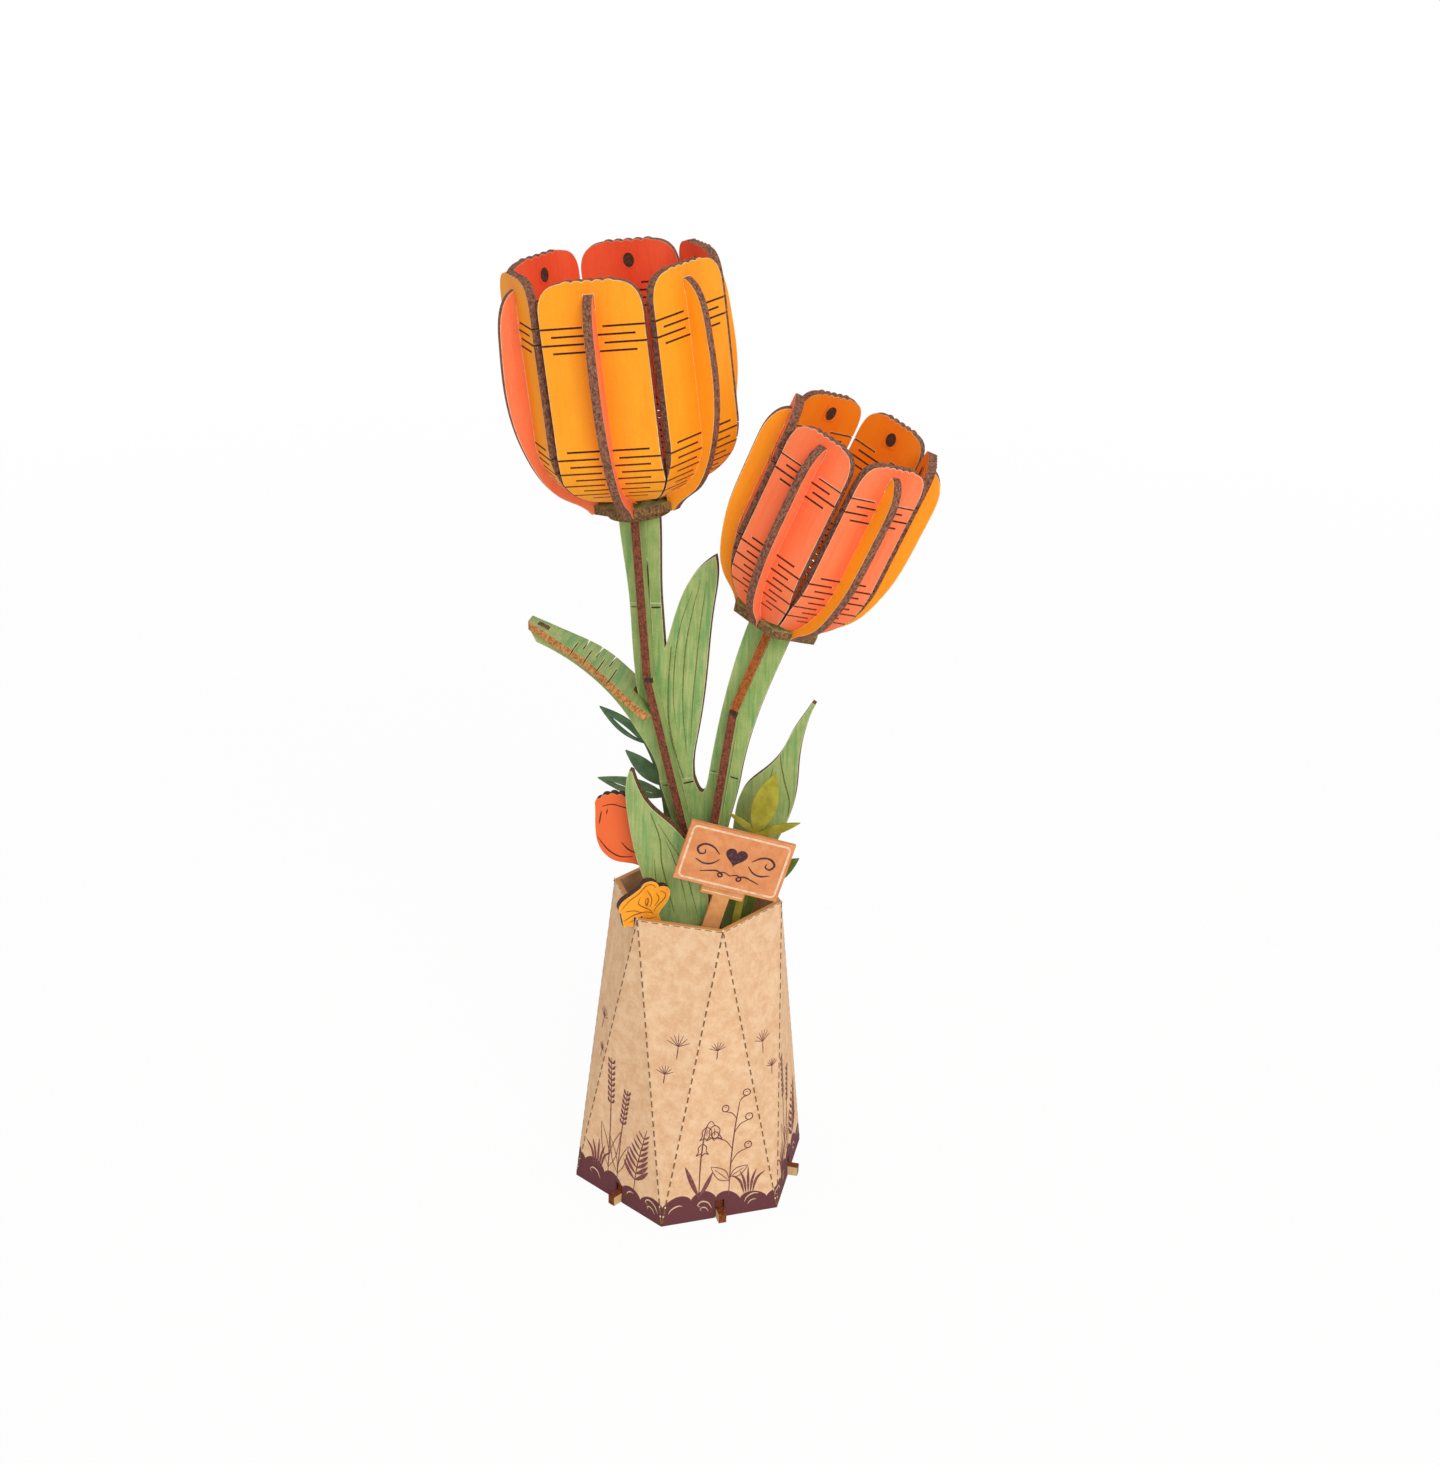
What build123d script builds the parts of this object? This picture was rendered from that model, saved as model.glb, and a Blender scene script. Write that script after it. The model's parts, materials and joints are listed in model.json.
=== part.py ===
from build123d import *
import os
from math import atan2, cos, degrees, hypot, radians, sin, tan

# Table ornament: two slotted tulips, leaves and picks standing in a folded card vase.
# The origin is on the table under the vase's centre, +Z is up and the front faces -Y.
# An azimuth is counted from -Y towards +X. What stands in the vase is drawn from the
# deck's upper face, so its heights below are heights over the deck.

# Sheets and fits
ply = 1.8
card = 0.6
sign_card = 1.0
kerf = 0.25
snug = 0.1
overrun = 2.0

# Card vase: the rim's corners stand over the middles of the foot's sides
sides = 6
sector = 360 / sides
vase_height = 72.0
vase_foot_radius = 27.6
vase_rim_radius = 19.1
rim_fold_depth = 6.0

# Boards inside the vase, and their tabs through the card
board_height = 44.0
tab_height = 2.3
tab_notch_height = 4.5
tab_proud = 2.2
peg_reach = 1.5

# Stem lines of both flowers: foot, knee and collar as places in the frontal plane
large_foot = (-1.3, 38.2)
large_knee = (-11.4, 77.4)
large_collar_at = (-15.2, 117.1)
large_lean = -8.0
small_foot = (3.2, 38.2)
small_knee = (7.5, 72.6)
small_collar_at = (15.6, 95.2)
small_lean = 21.7

# Frontal planks: the forked root, and the planks that its two branches carry
root_waist = 10.0
root_waist_at = 0.5
root_straight = 34.0
valley_drop = 4.2
large_joint_width = 7.8
large_joint_at = 53.4
large_neck_width = 6.9
large_neck_at = 93.8
large_top_width = 8.8
small_joint_width = 6.9
small_joint_at = 55.8
small_top_width = 9.6

# Spines, the fore and aft planks
spine_depth = 8.6
tongue_width = 4.0
spine_gap = 0.3

# Long leaf and arm, parts of the large flower's middle plank
long_leaf_width = 9.9
long_leaf_height = 51.6
long_leaf_outer_shares = (
    (-0.02, 0.078), (0.06, 0.204), (0.20, 0.451), (0.32, 0.778), (0.38, 0.955), (0.34, 1.0))
long_leaf_inner_shares = ((0.26, 0.99), (-0.14, 0.905), (-0.465, 0.757))
crevice_at = 83.6
arm_reach = 28.0
arm_rise = 29.6
arm_lower_shares = ((1.0, 1.0), (0.582, 0.793), (0.325, 0.568), (0.171, 0.367), (0.05, 0.18))

# Draped leaf, bent over the arm
drape_end_at = 69.6
drape_end_inset = 1.2
drape_low_run = 16.6
drape_low_slope = 39.8
drape_high_run = 16.6
drape_high_slope = 24.0
drape_radius = 32.0
drape_width = 10.8
drape_half_shares = (
    (0.0, 0.15), (0.12, 0.22), (0.35, 0.35), (0.60, 0.47), (0.82, 0.49), (1.0, 0.42))
drape_slits = 7
drape_slit_pitch = 1.7
drape_slit_share = 0.72
shoulder_share = 0.86
nose_share = 0.05
peg_share = 0.2
peg_width = 2.6

# Collars, and the disc under the large one; the heads are turned a little on their stems
collar_radius = 10.5
large_twist = 3.5
small_twist = 7.8
notch_depth = 1.7
cap_radius = 6.6

# Petals and ribs of both flowers
petal_gap = 0.5
tab_end_radius = 4.4
tab_width = 3.2
shoulder_round = 1.5
hinge_pitch = 1.6
upper_hinge_rows = 4
lower_hinge_rows = 9
hinge_bridge = 2.0
hole_height = 2.6
shoulder_drop = 6.6
scallop_rise = 0.35
lip_notch_shares = (-0.5, -0.3, -0.1, 0.1, 0.3, 0.5)

large_wall_radius = 20.2
large_petal_height = 49.2
large_lip_radius = 20.0
large_seat_radius = 6.6
large_shoulder_radius = 11.6
large_tuck_angle = 62.0
large_upper_hinge = 40.2
large_lower_hinge = 15.6
large_hole_at = 45.0
large_rib_reach = 24.7
large_rib_shares = (
    (0.945, 0.80), (0.925, 0.87), (0.86, 0.945), (0.73, 0.985), (0.53, 1.0),
    (0.37, 0.965), (0.24, 0.89), (0.13, 0.785), (0.06, 0.665), (0.015, 0.53))

small_wall_radius = 15.4
small_petal_height = 43.6
small_lip_radius = 15.5
small_seat_radius = 8.2
small_shoulder_radius = 9.8
small_tuck_angle = 44.0
small_upper_hinge = 35.6
small_lower_hinge = 17.0
small_hole_at = 39.7
small_rib_reach = 19.4
small_rib_shares = (
    (0.955, 0.79), (0.935, 0.88), (0.87, 0.97), (0.73, 1.0), (0.53, 0.995),
    (0.37, 0.97), (0.24, 0.905), (0.13, 0.81), (0.06, 0.69), (0.01, 0.56))

# Flat leaves and picks: heights over the rim, and feet at shares of the rim's radius
pick_foot_width = 4.4
card_foot_width = 3.0
card_stem_width = 1.6
blade_shares = ((0.22, 0.36), (0.45, 0.50), (0.75, 0.33))

front_leaf_width = 18.8
front_leaf_over_rim = 32.0
front_leaf_foot_shares = (0.0, -0.42)
front_leaf_left_shares = (
    (-0.335, 0.39), (-0.64, 0.645), (-0.745, 0.81), (-0.77, 0.95), (-0.735, 1.0))
front_leaf_right_shares = (
    (-0.70, 0.995), (-0.655, 0.952), (-0.495, 0.865), (-0.245, 0.80), (-0.03, 0.73),
    (0.16, 0.63), (0.234, 0.515), (0.229, 0.42))

right_leaf_width = 18.4
right_leaf_over_rim = 47.4
right_leaf_foot_shares = (0.345, 0.21)
right_leaf_left_shares = (
    (-0.076, 0.30), (0.02, 0.57), (0.147, 0.705), (0.402, 0.774), (0.58, 0.84),
    (0.668, 0.894), (0.788, 0.95), (0.90, 1.0))
right_leaf_right_shares = (
    (0.94, 0.995), (0.83, 0.911), (0.772, 0.803), (0.761, 0.715), (0.685, 0.615),
    (0.484, 0.489), (0.234, 0.30))

twig_width = 20.0
twig_over_rim = 39.8
twig_foot_shares = (-0.36, 0.31)
twig_stem_shares = ((-0.37, 0.90), (-0.16, 0.742), (-0.075, 0.59), (0.0, 0.30), (0.0, 0.0))
twig_leaf_shares = (
    ((-0.32, 0.875), (-0.885, 0.992), 0.26),
    ((-0.13, 0.727), (-0.585, 0.842), 0.33),
    ((-0.10, 0.69), (-0.90, 0.727), 0.26))
twig_window_shares = (
    ((-0.42, 0.885), (-0.78, 0.965), 0.10),
    ((-0.50, 0.70), (-0.80, 0.722), 0.08),
    ((-0.18, 0.69), (-0.45, 0.703), 0.07))

sprig_width = 16.0
sprig_over_rim = 34.4
sprig_foot_shares = (0.42, -0.262)
sprig_stem_shares = ((0.35, 0.754), (0.22, 0.545), (0.08, 0.30), (0.0, 0.12), (0.0, 0.0))
sprig_leaf_shares = (
    ((0.34, 0.74), (0.59, 0.993), 0.34),
    ((0.36, 0.745), (-0.03, 0.809), 0.17),
    ((0.34, 0.735), (0.95, 0.805), 0.20))

low_sprig_width = 12.0
low_sprig_over_rim = 12.8
low_sprig_foot_shares = (0.545, -0.13)
low_sprig_stem_shares = ((0.32, 0.84), (0.11, 0.56), (0.0, 0.25), (0.0, 0.0))
low_sprig_leaf_shares = (((0.28, 0.80), (1.05, 0.995), 0.36),)

bud_width = 10.4
bud_height = 18.8
bud_across = -17.4
bud_over_rim = 5.4
bud_foot_shares = (-0.42, -0.21)
bud_side_shares = (
    (0.62, 0.045), (0.27, 0.098), (-0.04, 0.105), (-0.327, 0.215), (-0.48, 0.553), (-0.49, 0.81))
bud_notch_shares = (
    (-0.49, 0.81), (-0.37, 0.90), (-0.20, 0.95), (-0.02, 0.965), (0.16, 0.95), (0.32, 0.96),
    (0.48, 0.95))
bud_back_shares = ((0.48, 0.95), (0.62, 0.6), (0.72, 0.25), (0.78, 0.03))
bud_stalk_shares = ((0.70, 0.12), (0.80, -0.15), (0.89, -0.60))
bud_scallop = 0.5
bud_stalk_width = 2.4

# Flutter piece that straddles the rim beside a front corner
flutter_width = 11.6
flutter_height = 10.6
flutter_rim_share = 0.9
flutter_turn = 30.0
flutter_grip = 2.2
flutter_slot_share = -0.12
flutter_lobe_shares = (
    ((-0.40, 0.0), (-0.425, 0.16)),
    ((-0.425, 0.16), (-0.455, 0.32)),
    ((-0.455, 0.32), (-0.50, 0.45), (-0.43, 0.60), (-0.30, 0.70), (-0.18, 0.79), (-0.08, 0.87)),
    ((-0.08, 0.87), (-0.01, 0.97), (0.12, 1.0), (0.23, 0.94), (0.28, 0.85)),
    ((0.28, 0.85), (0.39, 0.85), (0.48, 0.77), (0.49, 0.62), (0.40, 0.42), (0.28, 0.22)),
    ((0.28, 0.22), (0.34, 0.0)),
    ((0.34, 0.0), (-0.40, 0.0)))
rim_clearance = 0.4

# Sign and its stake; the stake crosses the rim's level at shares of the rim's radius
sign_width = 23.3
sign_height = 14.2
sign_rim_shares = (0.336, -0.635)
sign_rise = 15.2
sign_turn = 16.3
sign_tilt = 15.5
ledge_width = 9.6
ledge_height = 2.4
stake_width = 3.7
stake_overlap = 8.0

# Derived places
deck_top = board_height + ply
deck_under = -ply
rim_level = vase_height - deck_top
foot_apothem = vase_foot_radius * cos(radians(sector / 2))
collar_apothem = collar_radius * cos(radians(sector / 2))
bud_at = (bud_across, rim_level + bud_over_rim)
half_tangent = tan(radians(sector / 2))


# Geometry in the frontal plane, as (x, height) places

def along(start, end, share):
    return (start[0] + (end[0] - start[0]) * share, start[1] + (end[1] - start[1]) * share)


def at_level(start, end, level):
    """The place on the line through start and end at the given height."""
    return along(start, end, (level - start[1]) / (end[1] - start[1]))


def beside(start, end, place, distance):
    """The place at a distance square to a line, to the right of it going up."""
    length = hypot(end[0] - start[0], end[1] - start[1])
    return (place[0] + distance * (end[1] - start[1]) / length,
            place[1] - distance * (end[0] - start[0]) / length)


def in_head(place, lean, across, up):
    """A place given across and along a flower's leaning axis."""
    return (place[0] + across * cos(radians(lean)) + up * sin(radians(lean)),
            place[1] - across * sin(radians(lean)) + up * cos(radians(lean)))


def at_shares(shares, width, height, place=(0, 0)):
    return [(place[0] + across * width, place[1] + up * height) for across, up in shares]


def heading(start, end):
    return (end[0] - start[0], end[1] - start[1])


def outline(*runs):
    """A closed outline of runs of places: two places are a line, more are a curve."""
    edges = [Line(*run) if len(run) == 2 else Spline(*run) for run in runs]
    return make_face(edges)


def scallops(places, rise):
    """Small arcs that bulge away from the middle between neighbouring places."""
    arcs = []
    for start, end in zip(places, places[1:]):
        crown = beside(start, end, along(start, end, 1 / 2), -rise)
        arcs.append(ThreePointArc(start, crown, end))
    return arcs


def upright(face, thickness, y=0):
    """A sheet parallel to the frontal plane, its middle at y."""
    return extrude(Plane.XZ.offset(-y) * face, amount=thickness / 2, both=True)


def strip(start, end, width, depth):
    """A box along a line of the frontal plane: width in that plane, depth in Y."""
    length = hypot(end[0] - start[0], end[1] - start[1])
    lean = degrees(atan2(end[0] - start[0], end[1] - start[1]))
    middle = along(start, end, 1 / 2)
    return Pos(middle[0], 0, middle[1]) * Rot(Y=lean) * Box(width, depth, length)


def past(start, end, distance):
    length = hypot(end[0] - start[0], end[1] - start[1])
    return along(start, end, 1 + distance / length)


# Card vase

def ring(radius, height, first):
    return [Vector(radius * sin(radians(first + sector * i)),
                   -radius * cos(radians(first + sector * i)), height) for i in range(sides)]


def twisted_hexagon(inset):
    """The space between foot and rim, drawn in by an inset all round."""
    low = ring((foot_apothem - inset) / cos(radians(sector / 2)), 0, 0)
    high = ring(vase_rim_radius - inset, vase_height, -sector / 2)
    faces = [Face(Wire.make_polygon(low)), Face(Wire.make_polygon(high))]
    for i in range(sides):
        after = (i + 1) % sides
        faces.append(Face(Wire.make_polygon([low[i - 1], low[i], high[i]])))
        faces.append(Face(Wire.make_polygon([high[i], high[after], low[i]])))
    return Part() + Solid(Shell(faces))


def slab(low, high):
    size = 2 * (vase_foot_radius + overrun)
    return Pos(0, 0, (low + high) / 2) * Box(size, size, high - low)


def vase_sleeve():
    wall = twisted_hexagon(0) - twisted_hexagon(card)
    fold = twisted_hexagon(card) - twisted_hexagon(2 * card)
    sleeve = wall + (fold & slab(vase_height - rim_fold_depth, vase_height + overrun))
    notch = Pos(foot_apothem, 0, 0) * Box(4 * card, ply + 4 * snug, 2 * tab_notch_height)
    for i in range(sides):
        sleeve -= Rot(Z=sector * i) * notch
    return sleeve


# Crossing boards and deck

def wall_reach(height):
    """Distance from the middle to the card's inner face over a foot side's middle."""
    return foot_apothem - (foot_apothem - vase_rim_radius) * height / vase_height - card - snug


def board_face():
    tab_end = foot_apothem + tab_proud
    half = [(tab_end, 0), (tab_end, tab_height), (wall_reach(tab_height), tab_height),
            (wall_reach(board_height), board_height)]
    mirrored = [(-x, z) for x, z in reversed(half)]
    return make_face(Polyline(*half, *mirrored, close=True).edges())


def crossing_slot(turn, low, high):
    return Rot(Z=turn) * Pos(0, 0, (low + high) / 2) * Box(
        2 * vase_foot_radius, ply + 2 * snug, high - low)


def crossed(board, turn, keep_low, keep_high):
    """Slots a board for the other two; it stays whole between two heights."""
    for other in (0, sector, -sector):
        if other != turn:
            board -= crossing_slot(other - turn, keep_high, board_height + overrun)
            board -= crossing_slot(other - turn, -overrun, keep_low)
    return board


def cross_board(turn, keep_low, keep_high):
    board = crossed(upright(board_face(), ply), turn, keep_low, keep_high)
    return Rot(Z=turn) * board


def peg_slot(foot, width, thickness):
    return Pos(foot[0], foot[1], 0) * Box(
        width + 2 * snug, thickness + 2 * snug, 2 * (ply + overrun))


def deck():
    plate = twisted_hexagon(card + snug) & slab(board_height, deck_top)
    plate = Pos(0, 0, -deck_top) * plate
    left, right = large_joint()[0], small_joint()[1]
    plate -= Pos((left[0] + right[0]) / 2, 0, 0) * Box(
        right[0] - left[0] + 2 * snug, ply + 2 * snug, 2 * (ply + overrun))
    for shares in (front_leaf_foot_shares, right_leaf_foot_shares, bud_foot_shares):
        plate -= peg_slot(pick_foot(shares), pick_foot_width, ply)
    for shares in (twig_foot_shares, sprig_foot_shares, low_sprig_foot_shares):
        plate -= peg_slot(pick_foot(shares), card_foot_width, card)
    return plate - sign_place() * stake_body(2 * snug)


# Stems

def large_joint():
    place = at_level(large_foot, large_knee, large_joint_at)
    half = large_joint_width / 2
    return [beside(large_foot, large_knee, place, side * half) for side in (-1, 1)]


def large_top():
    return in_head(large_collar_at, large_lean, 0, -2 * ply)


def small_top():
    return in_head(small_collar_at, small_lean, 0, -ply)


def large_neck():
    place = at_level(large_knee, large_top(), large_neck_at)
    half = large_neck_width / 2
    return [beside(large_knee, large_top(), place, side * half) for side in (-1, 1)]


def small_joint():
    place = at_level(small_foot, small_knee, small_joint_at)
    half = small_joint_width / 2
    return [beside(small_foot, small_knee, place, side * half) for side in (-1, 1)]


def plank_slot(start, end):
    return strip(start, end, ply + 2 * snug, spine_depth + overrun)


def spine_slot(start, end):
    return strip(start, end, root_waist, ply + 2 * snug)


def halfway(start, end, low, high):
    """Three places on a stem line: at both heights and halfway between."""
    return [at_level(start, end, level) for level in (low, (low + high) / 2, high)]


def root_plank():
    left, right = root_waist_at - root_waist / 2, root_waist_at + root_waist / 2
    large_left, large_right = large_joint()
    small_left, small_right = small_joint()
    valley = along(large_right, small_left, 1 / 2)
    valley = (valley[0], valley[1] - valley_drop)
    edges = [
        Line((left, deck_under), (left, root_straight)),
        Spline((left, root_straight), large_left,
               tangents=((0, 1), heading(large_foot, large_knee))),
        Line(large_left, large_right),
        Spline(large_right, valley, small_left),
        Line(small_left, small_right),
        Spline(small_right, (right, root_straight),
               tangents=(heading(small_knee, small_foot), (0, -1))),
        Line((right, root_straight), (right, deck_under)),
        Line((right, deck_under), (left, deck_under))]
    board = crossed(upright(board_face(), ply), 0, 2 * board_height / 3, board_height)
    plank = Pos(0, 0, -deck_top) * board + upright(make_face(edges), ply)
    for foot, knee, joint in ((large_foot, large_knee, large_joint_at),
                              (small_foot, small_knee, small_joint_at)):
        low, middle, high = halfway(foot, knee, foot[1], joint)
        plank -= plank_slot(middle, past(foot, high, overrun))
    return plank


def drape_line():
    """The bent leaf's upper face: tip, bend and end."""
    end = at_level(large_foot, large_knee, drape_end_at)
    end = (end[0] - drape_end_inset, end[1])
    bend = (end[0] - drape_low_run * cos(radians(drape_low_slope)),
            end[1] + drape_low_run * sin(radians(drape_low_slope)))
    tip = (bend[0] - drape_high_run * cos(radians(drape_high_slope)),
           bend[1] + drape_high_run * sin(radians(drape_high_slope)))
    return tip, bend, end


def under_drape(depth):
    """The same three places, moved down square to the sheet."""
    tip, bend, end = drape_line()
    half_turn = radians(drape_low_slope - drape_high_slope) / 2
    middle = along(beside(tip, bend, bend, depth), beside(bend, end, bend, depth), 1 / 2)
    corner = along(bend, middle, 1 / cos(half_turn) ** 2)
    return beside(tip, bend, tip, depth), corner, beside(bend, end, end, depth)


def drape_peg(width, thickness):
    tip, bend, end = drape_line()
    place = along(tip, bend, peg_share)
    return strip(beside(tip, bend, place, ply + overrun / 2), place, width, thickness)


def middle_plank():
    low_left, low_right = large_joint()
    neck_left, neck_right = large_neck()
    crevice = at_level(large_knee, large_top(), crevice_at)
    crevice = beside(large_knee, large_top(), crevice, large_neck_width / 2)
    outer = at_shares(long_leaf_outer_shares, long_leaf_width, long_leaf_height, low_right)
    inner = at_shares(long_leaf_inner_shares, long_leaf_width, long_leaf_height, low_right)
    arm = at_shares(arm_lower_shares, -arm_reach, arm_rise, low_left)
    tip, bend, end = under_drape(ply)
    shoulder = along(bend, end, shoulder_share)
    nose = along(tip, bend, nose_share)
    edges = [
        Line(low_left, low_right), Spline(low_right, *outer), Line(outer[-1], inner[0]),
        Spline(*inner, crevice), Line(crevice, neck_right), Line(neck_right, neck_left),
        Spline(neck_left, shoulder, tangents=(heading(large_top(), large_knee),
                                              heading(large_knee, large_foot)))]
    edges += FilletPolyline(shoulder, bend, nose, radius=drape_radius - ply).edges()
    edges += [Line(nose, arm[0]), Spline(*arm, low_left)]
    plank = upright(make_face(edges), ply) + drape_peg(peg_width, ply)
    low, middle, high = halfway(large_foot, large_knee, large_joint_at, large_knee[1])
    plank -= plank_slot(past(middle, low, overrun), middle)
    low, middle, high = halfway(large_knee, large_top(), large_knee[1], large_neck_at)
    return plank - plank_slot(middle, past(low, high, overrun))


def large_top_plank():
    neck_left, neck_right = large_neck()
    half = large_top_width / 2
    left = in_head(large_collar_at, large_lean, -half, -2 * ply)
    right = in_head(large_collar_at, large_lean, half, -2 * ply)
    up, down = heading(large_knee, large_top()), heading(large_top(), large_knee)
    edges = [Line(neck_left, neck_right), Spline(neck_right, right, tangents=(up, up)),
             Line(right, left), Spline(left, neck_left, tangents=(down, down))]
    plank = upright(make_face(edges), ply) + strip(large_top(), large_collar_at, tongue_width, ply)
    low, middle, high = halfway(large_knee, large_top(), large_neck_at, large_top()[1])
    return plank - plank_slot(past(middle, low, overrun), middle)


def small_top_plank():
    joint_left, joint_right = small_joint()
    half = small_top_width / 2
    left = in_head(small_collar_at, small_lean, -half, -ply)
    right = in_head(small_collar_at, small_lean, half, -ply)
    low, high = heading(small_foot, small_knee), heading(small_knee, small_top())
    back_high, back_low = heading(small_top(), small_knee), heading(small_knee, small_foot)
    edges = [Line(joint_left, joint_right), Spline(joint_right, right, tangents=(low, high)),
             Line(right, left), Spline(left, joint_left, tangents=(back_high, back_low))]
    plank = upright(make_face(edges), ply) + strip(small_top(), small_collar_at, tongue_width, ply)
    low, middle, high = halfway(small_foot, small_knee, small_joint_at, small_knee[1])
    plank -= plank_slot(past(middle, low, overrun), middle)
    low, middle, high = halfway(small_knee, small_top(), small_knee[1], small_top()[1])
    return plank - plank_slot(middle, past(low, high, 2 * ply + overrun))


def lower_spine(foot, knee, joint):
    """Stands in the root plank's slot and carries the next plank in its own."""
    spine = strip(foot, knee, ply, spine_depth)
    low, middle, high = halfway(foot, knee, foot[1], joint)
    spine -= spine_slot(past(high, low, overrun), middle)
    low, middle, high = halfway(foot, knee, joint, knee[1])
    return spine - spine_slot(middle, past(low, high, overrun))


def upper_spine(knee, top, collar_at, lean):
    """From the knee to under the collar, and a tongue that goes up into it."""
    start = past(top, knee, -spine_gap)
    spine = strip(start, past(knee, top, overrun), ply, spine_depth)
    end = hypot(collar_at[0] - top[0], collar_at[1] - top[1])
    over = Pos(collar_at[0], 0, collar_at[1]) * Rot(Y=lean) * Pos(0, 0, spine_depth - end)
    spine -= over * Box(spine_depth, 2 * spine_depth, 2 * spine_depth)
    return spine + strip(top, collar_at, ply, tongue_width)


def large_upper_spine():
    spine = upper_spine(large_knee, large_top(), large_collar_at, large_lean)
    low, middle, high = halfway(large_knee, large_top(), large_knee[1], large_neck_at)
    spine -= spine_slot(past(high, low, overrun), middle)
    low, middle, high = halfway(large_knee, large_top(), large_neck_at, large_top()[1])
    return spine - spine_slot(middle, past(low, high, 2 * ply + overrun))


def small_upper_spine():
    spine = upper_spine(small_knee, small_top(), small_collar_at, small_lean)
    low, middle, high = halfway(small_knee, small_top(), small_knee[1], small_top()[1])
    return spine - spine_slot(past(high, low, overrun), middle)


def draped_leaf():
    upper, lower = drape_line(), under_drape(ply)
    edges = [*FilletPolyline(*upper, radius=drape_radius).edges(), Line(upper[2], lower[2]),
             *FilletPolyline(*reversed(lower), radius=drape_radius - ply).edges(),
             Line(lower[0], upper[0])]
    sheet = upright(make_face(edges), drape_width + overrun)
    tip, bend, end = upper
    reach = end[0] - tip[0]
    front = [(tip[0] + u * reach, -v * drape_width) for u, v in drape_half_shares]
    back = [(x, -y) for x, y in reversed(front)]
    plan = outline(front, [front[-1], back[0]], back, [back[-1], front[0]])
    blade = sheet & extrude(Pos(0, 0, end[1] - overrun) * plan, amount=tip[1] - end[1] + 2 * overrun)
    blade -= drape_peg(peg_width + 2 * snug, ply + 2 * snug)
    stem = at_level(large_foot, large_knee, end[1])
    notch = strip((stem[0], end[1] - spine_depth), (stem[0], end[1] + spine_depth),
                  2 * (large_joint_width / 2 + overrun), ply + 2 * snug)
    blade -= notch
    for row in range(drape_slits):
        offset = (row - (drape_slits - 1) / 2) * drape_slit_pitch
        place = past(tip, bend, offset) if offset < 0 else past(end, bend, -offset)
        lean = drape_high_slope if offset < 0 else drape_low_slope
        side = 1 if row % 2 else -1
        slit = Box(kerf, drape_slit_share * drape_width, 2 * (ply + overrun))
        shift = side * (1 - drape_slit_share) * drape_width
        blade -= Pos(place[0], shift, place[1]) * Rot(Y=lean) * slit
    return blade


# Flower heads, built about their own axis with the collar's upper face at zero.
# A petal is drawn facing +X, as places of distance from the axis and height.

def head_sizes(flower):
    return {
        "large": (large_wall_radius, large_petal_height, large_lip_radius,
                  large_upper_hinge, large_lower_hinge, large_hole_at),
        "small": (small_wall_radius, small_petal_height, small_lip_radius,
                  small_upper_hinge, small_lower_hinge, small_hole_at)}[flower]


def head_seat(flower):
    """Where a petal meets the collar and narrows to its tab, and where a rib stands."""
    return {
        "large": (large_seat_radius, large_tuck_angle, large_shoulder_radius, collar_radius),
        "small": (small_seat_radius, small_tuck_angle, small_shoulder_radius, collar_apothem)}[flower]


def petal_places(flower, depth):
    """Corners and curve of a petal's outer face, or of a face inside it by a depth."""
    wall, top, lip, upper, lower, hole = head_sizes(flower)
    seat_radius, tuck_angle, shoulder, foot_reach = head_seat(flower)
    bend = upper - (upper_hinge_rows - 1) * hinge_pitch / 2
    slope = 1 / tan(radians(tuck_angle))
    tuck = radians(tuck_angle)
    radius = (lower - (wall - seat_radius) * slope) / (sin(tuck) - (1 - cos(tuck)) * slope)
    centre = (wall - radius, lower)
    curve = [(centre[0] + (radius - depth) * cos(tuck * share),
              centre[1] - (radius - depth) * sin(tuck * share)) for share in (0, 1 / 2, 1)]
    seat_turn = radians(90 - tuck_angle)
    seat = (seat_radius - depth * tan(seat_turn / 2), depth)
    lean = atan2(wall - lip, top - bend)
    return [(lip - depth / cos(lean), top), (wall - depth, bend), *curve, seat,
            (tab_end_radius, depth)], centre, radius


def petal_line(places):
    lip, bend, start, middle, end, seat, tongue = places
    return [Line(lip, bend), Line(bend, start), ThreePointArc(start, middle, end),
            Line(end, seat), Line(seat, tongue)]


def half_width_at(reach):
    """Half a petal's width where its inner face is that far from the axis."""
    return reach * half_tangent - petal_gap / 2


def petal_half_width(flower):
    return half_width_at(head_sizes(flower)[0] - ply)


def petal_front(flower):
    """The petal seen from the front: straight sides, round shoulders, scalloped lip."""
    top, half = head_sizes(flower)[1], petal_half_width(flower)
    notches = [(share * half, top - scallop_rise) for share in lip_notch_shares]
    arms = [(-half, top - shoulder_drop), (half, top - shoulder_drop)]
    left = Spline(arms[0], notches[0], tangents=((0, 1), (shoulder_drop, scallop_rise)))
    right = Spline(notches[-1], arms[1], tangents=((shoulder_drop, -scallop_rise), (0, -1)))
    edges = [left, *scallops(notches, scallop_rise), right, Line(arms[1], (half, -overrun)),
             Line((half, -overrun), (-half, -overrun)), Line((-half, -overrun), arms[0])]
    return make_face(edges)


def petal_plan(shoulder):
    """The petal's share of the ring seen from above, narrowed to the tab at its end."""
    reach = large_rib_reach + overrun
    corners = [(tab_end_radius, tab_width / 2),
               (shoulder - shoulder_round, tab_width / 2),
               (shoulder, half_width_at(shoulder)),
               (reach, half_width_at(reach))]
    mirrored = [(x, -y) for x, y in reversed(corners)]
    return make_face(Polyline(*corners, *mirrored, close=True).edges())


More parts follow.
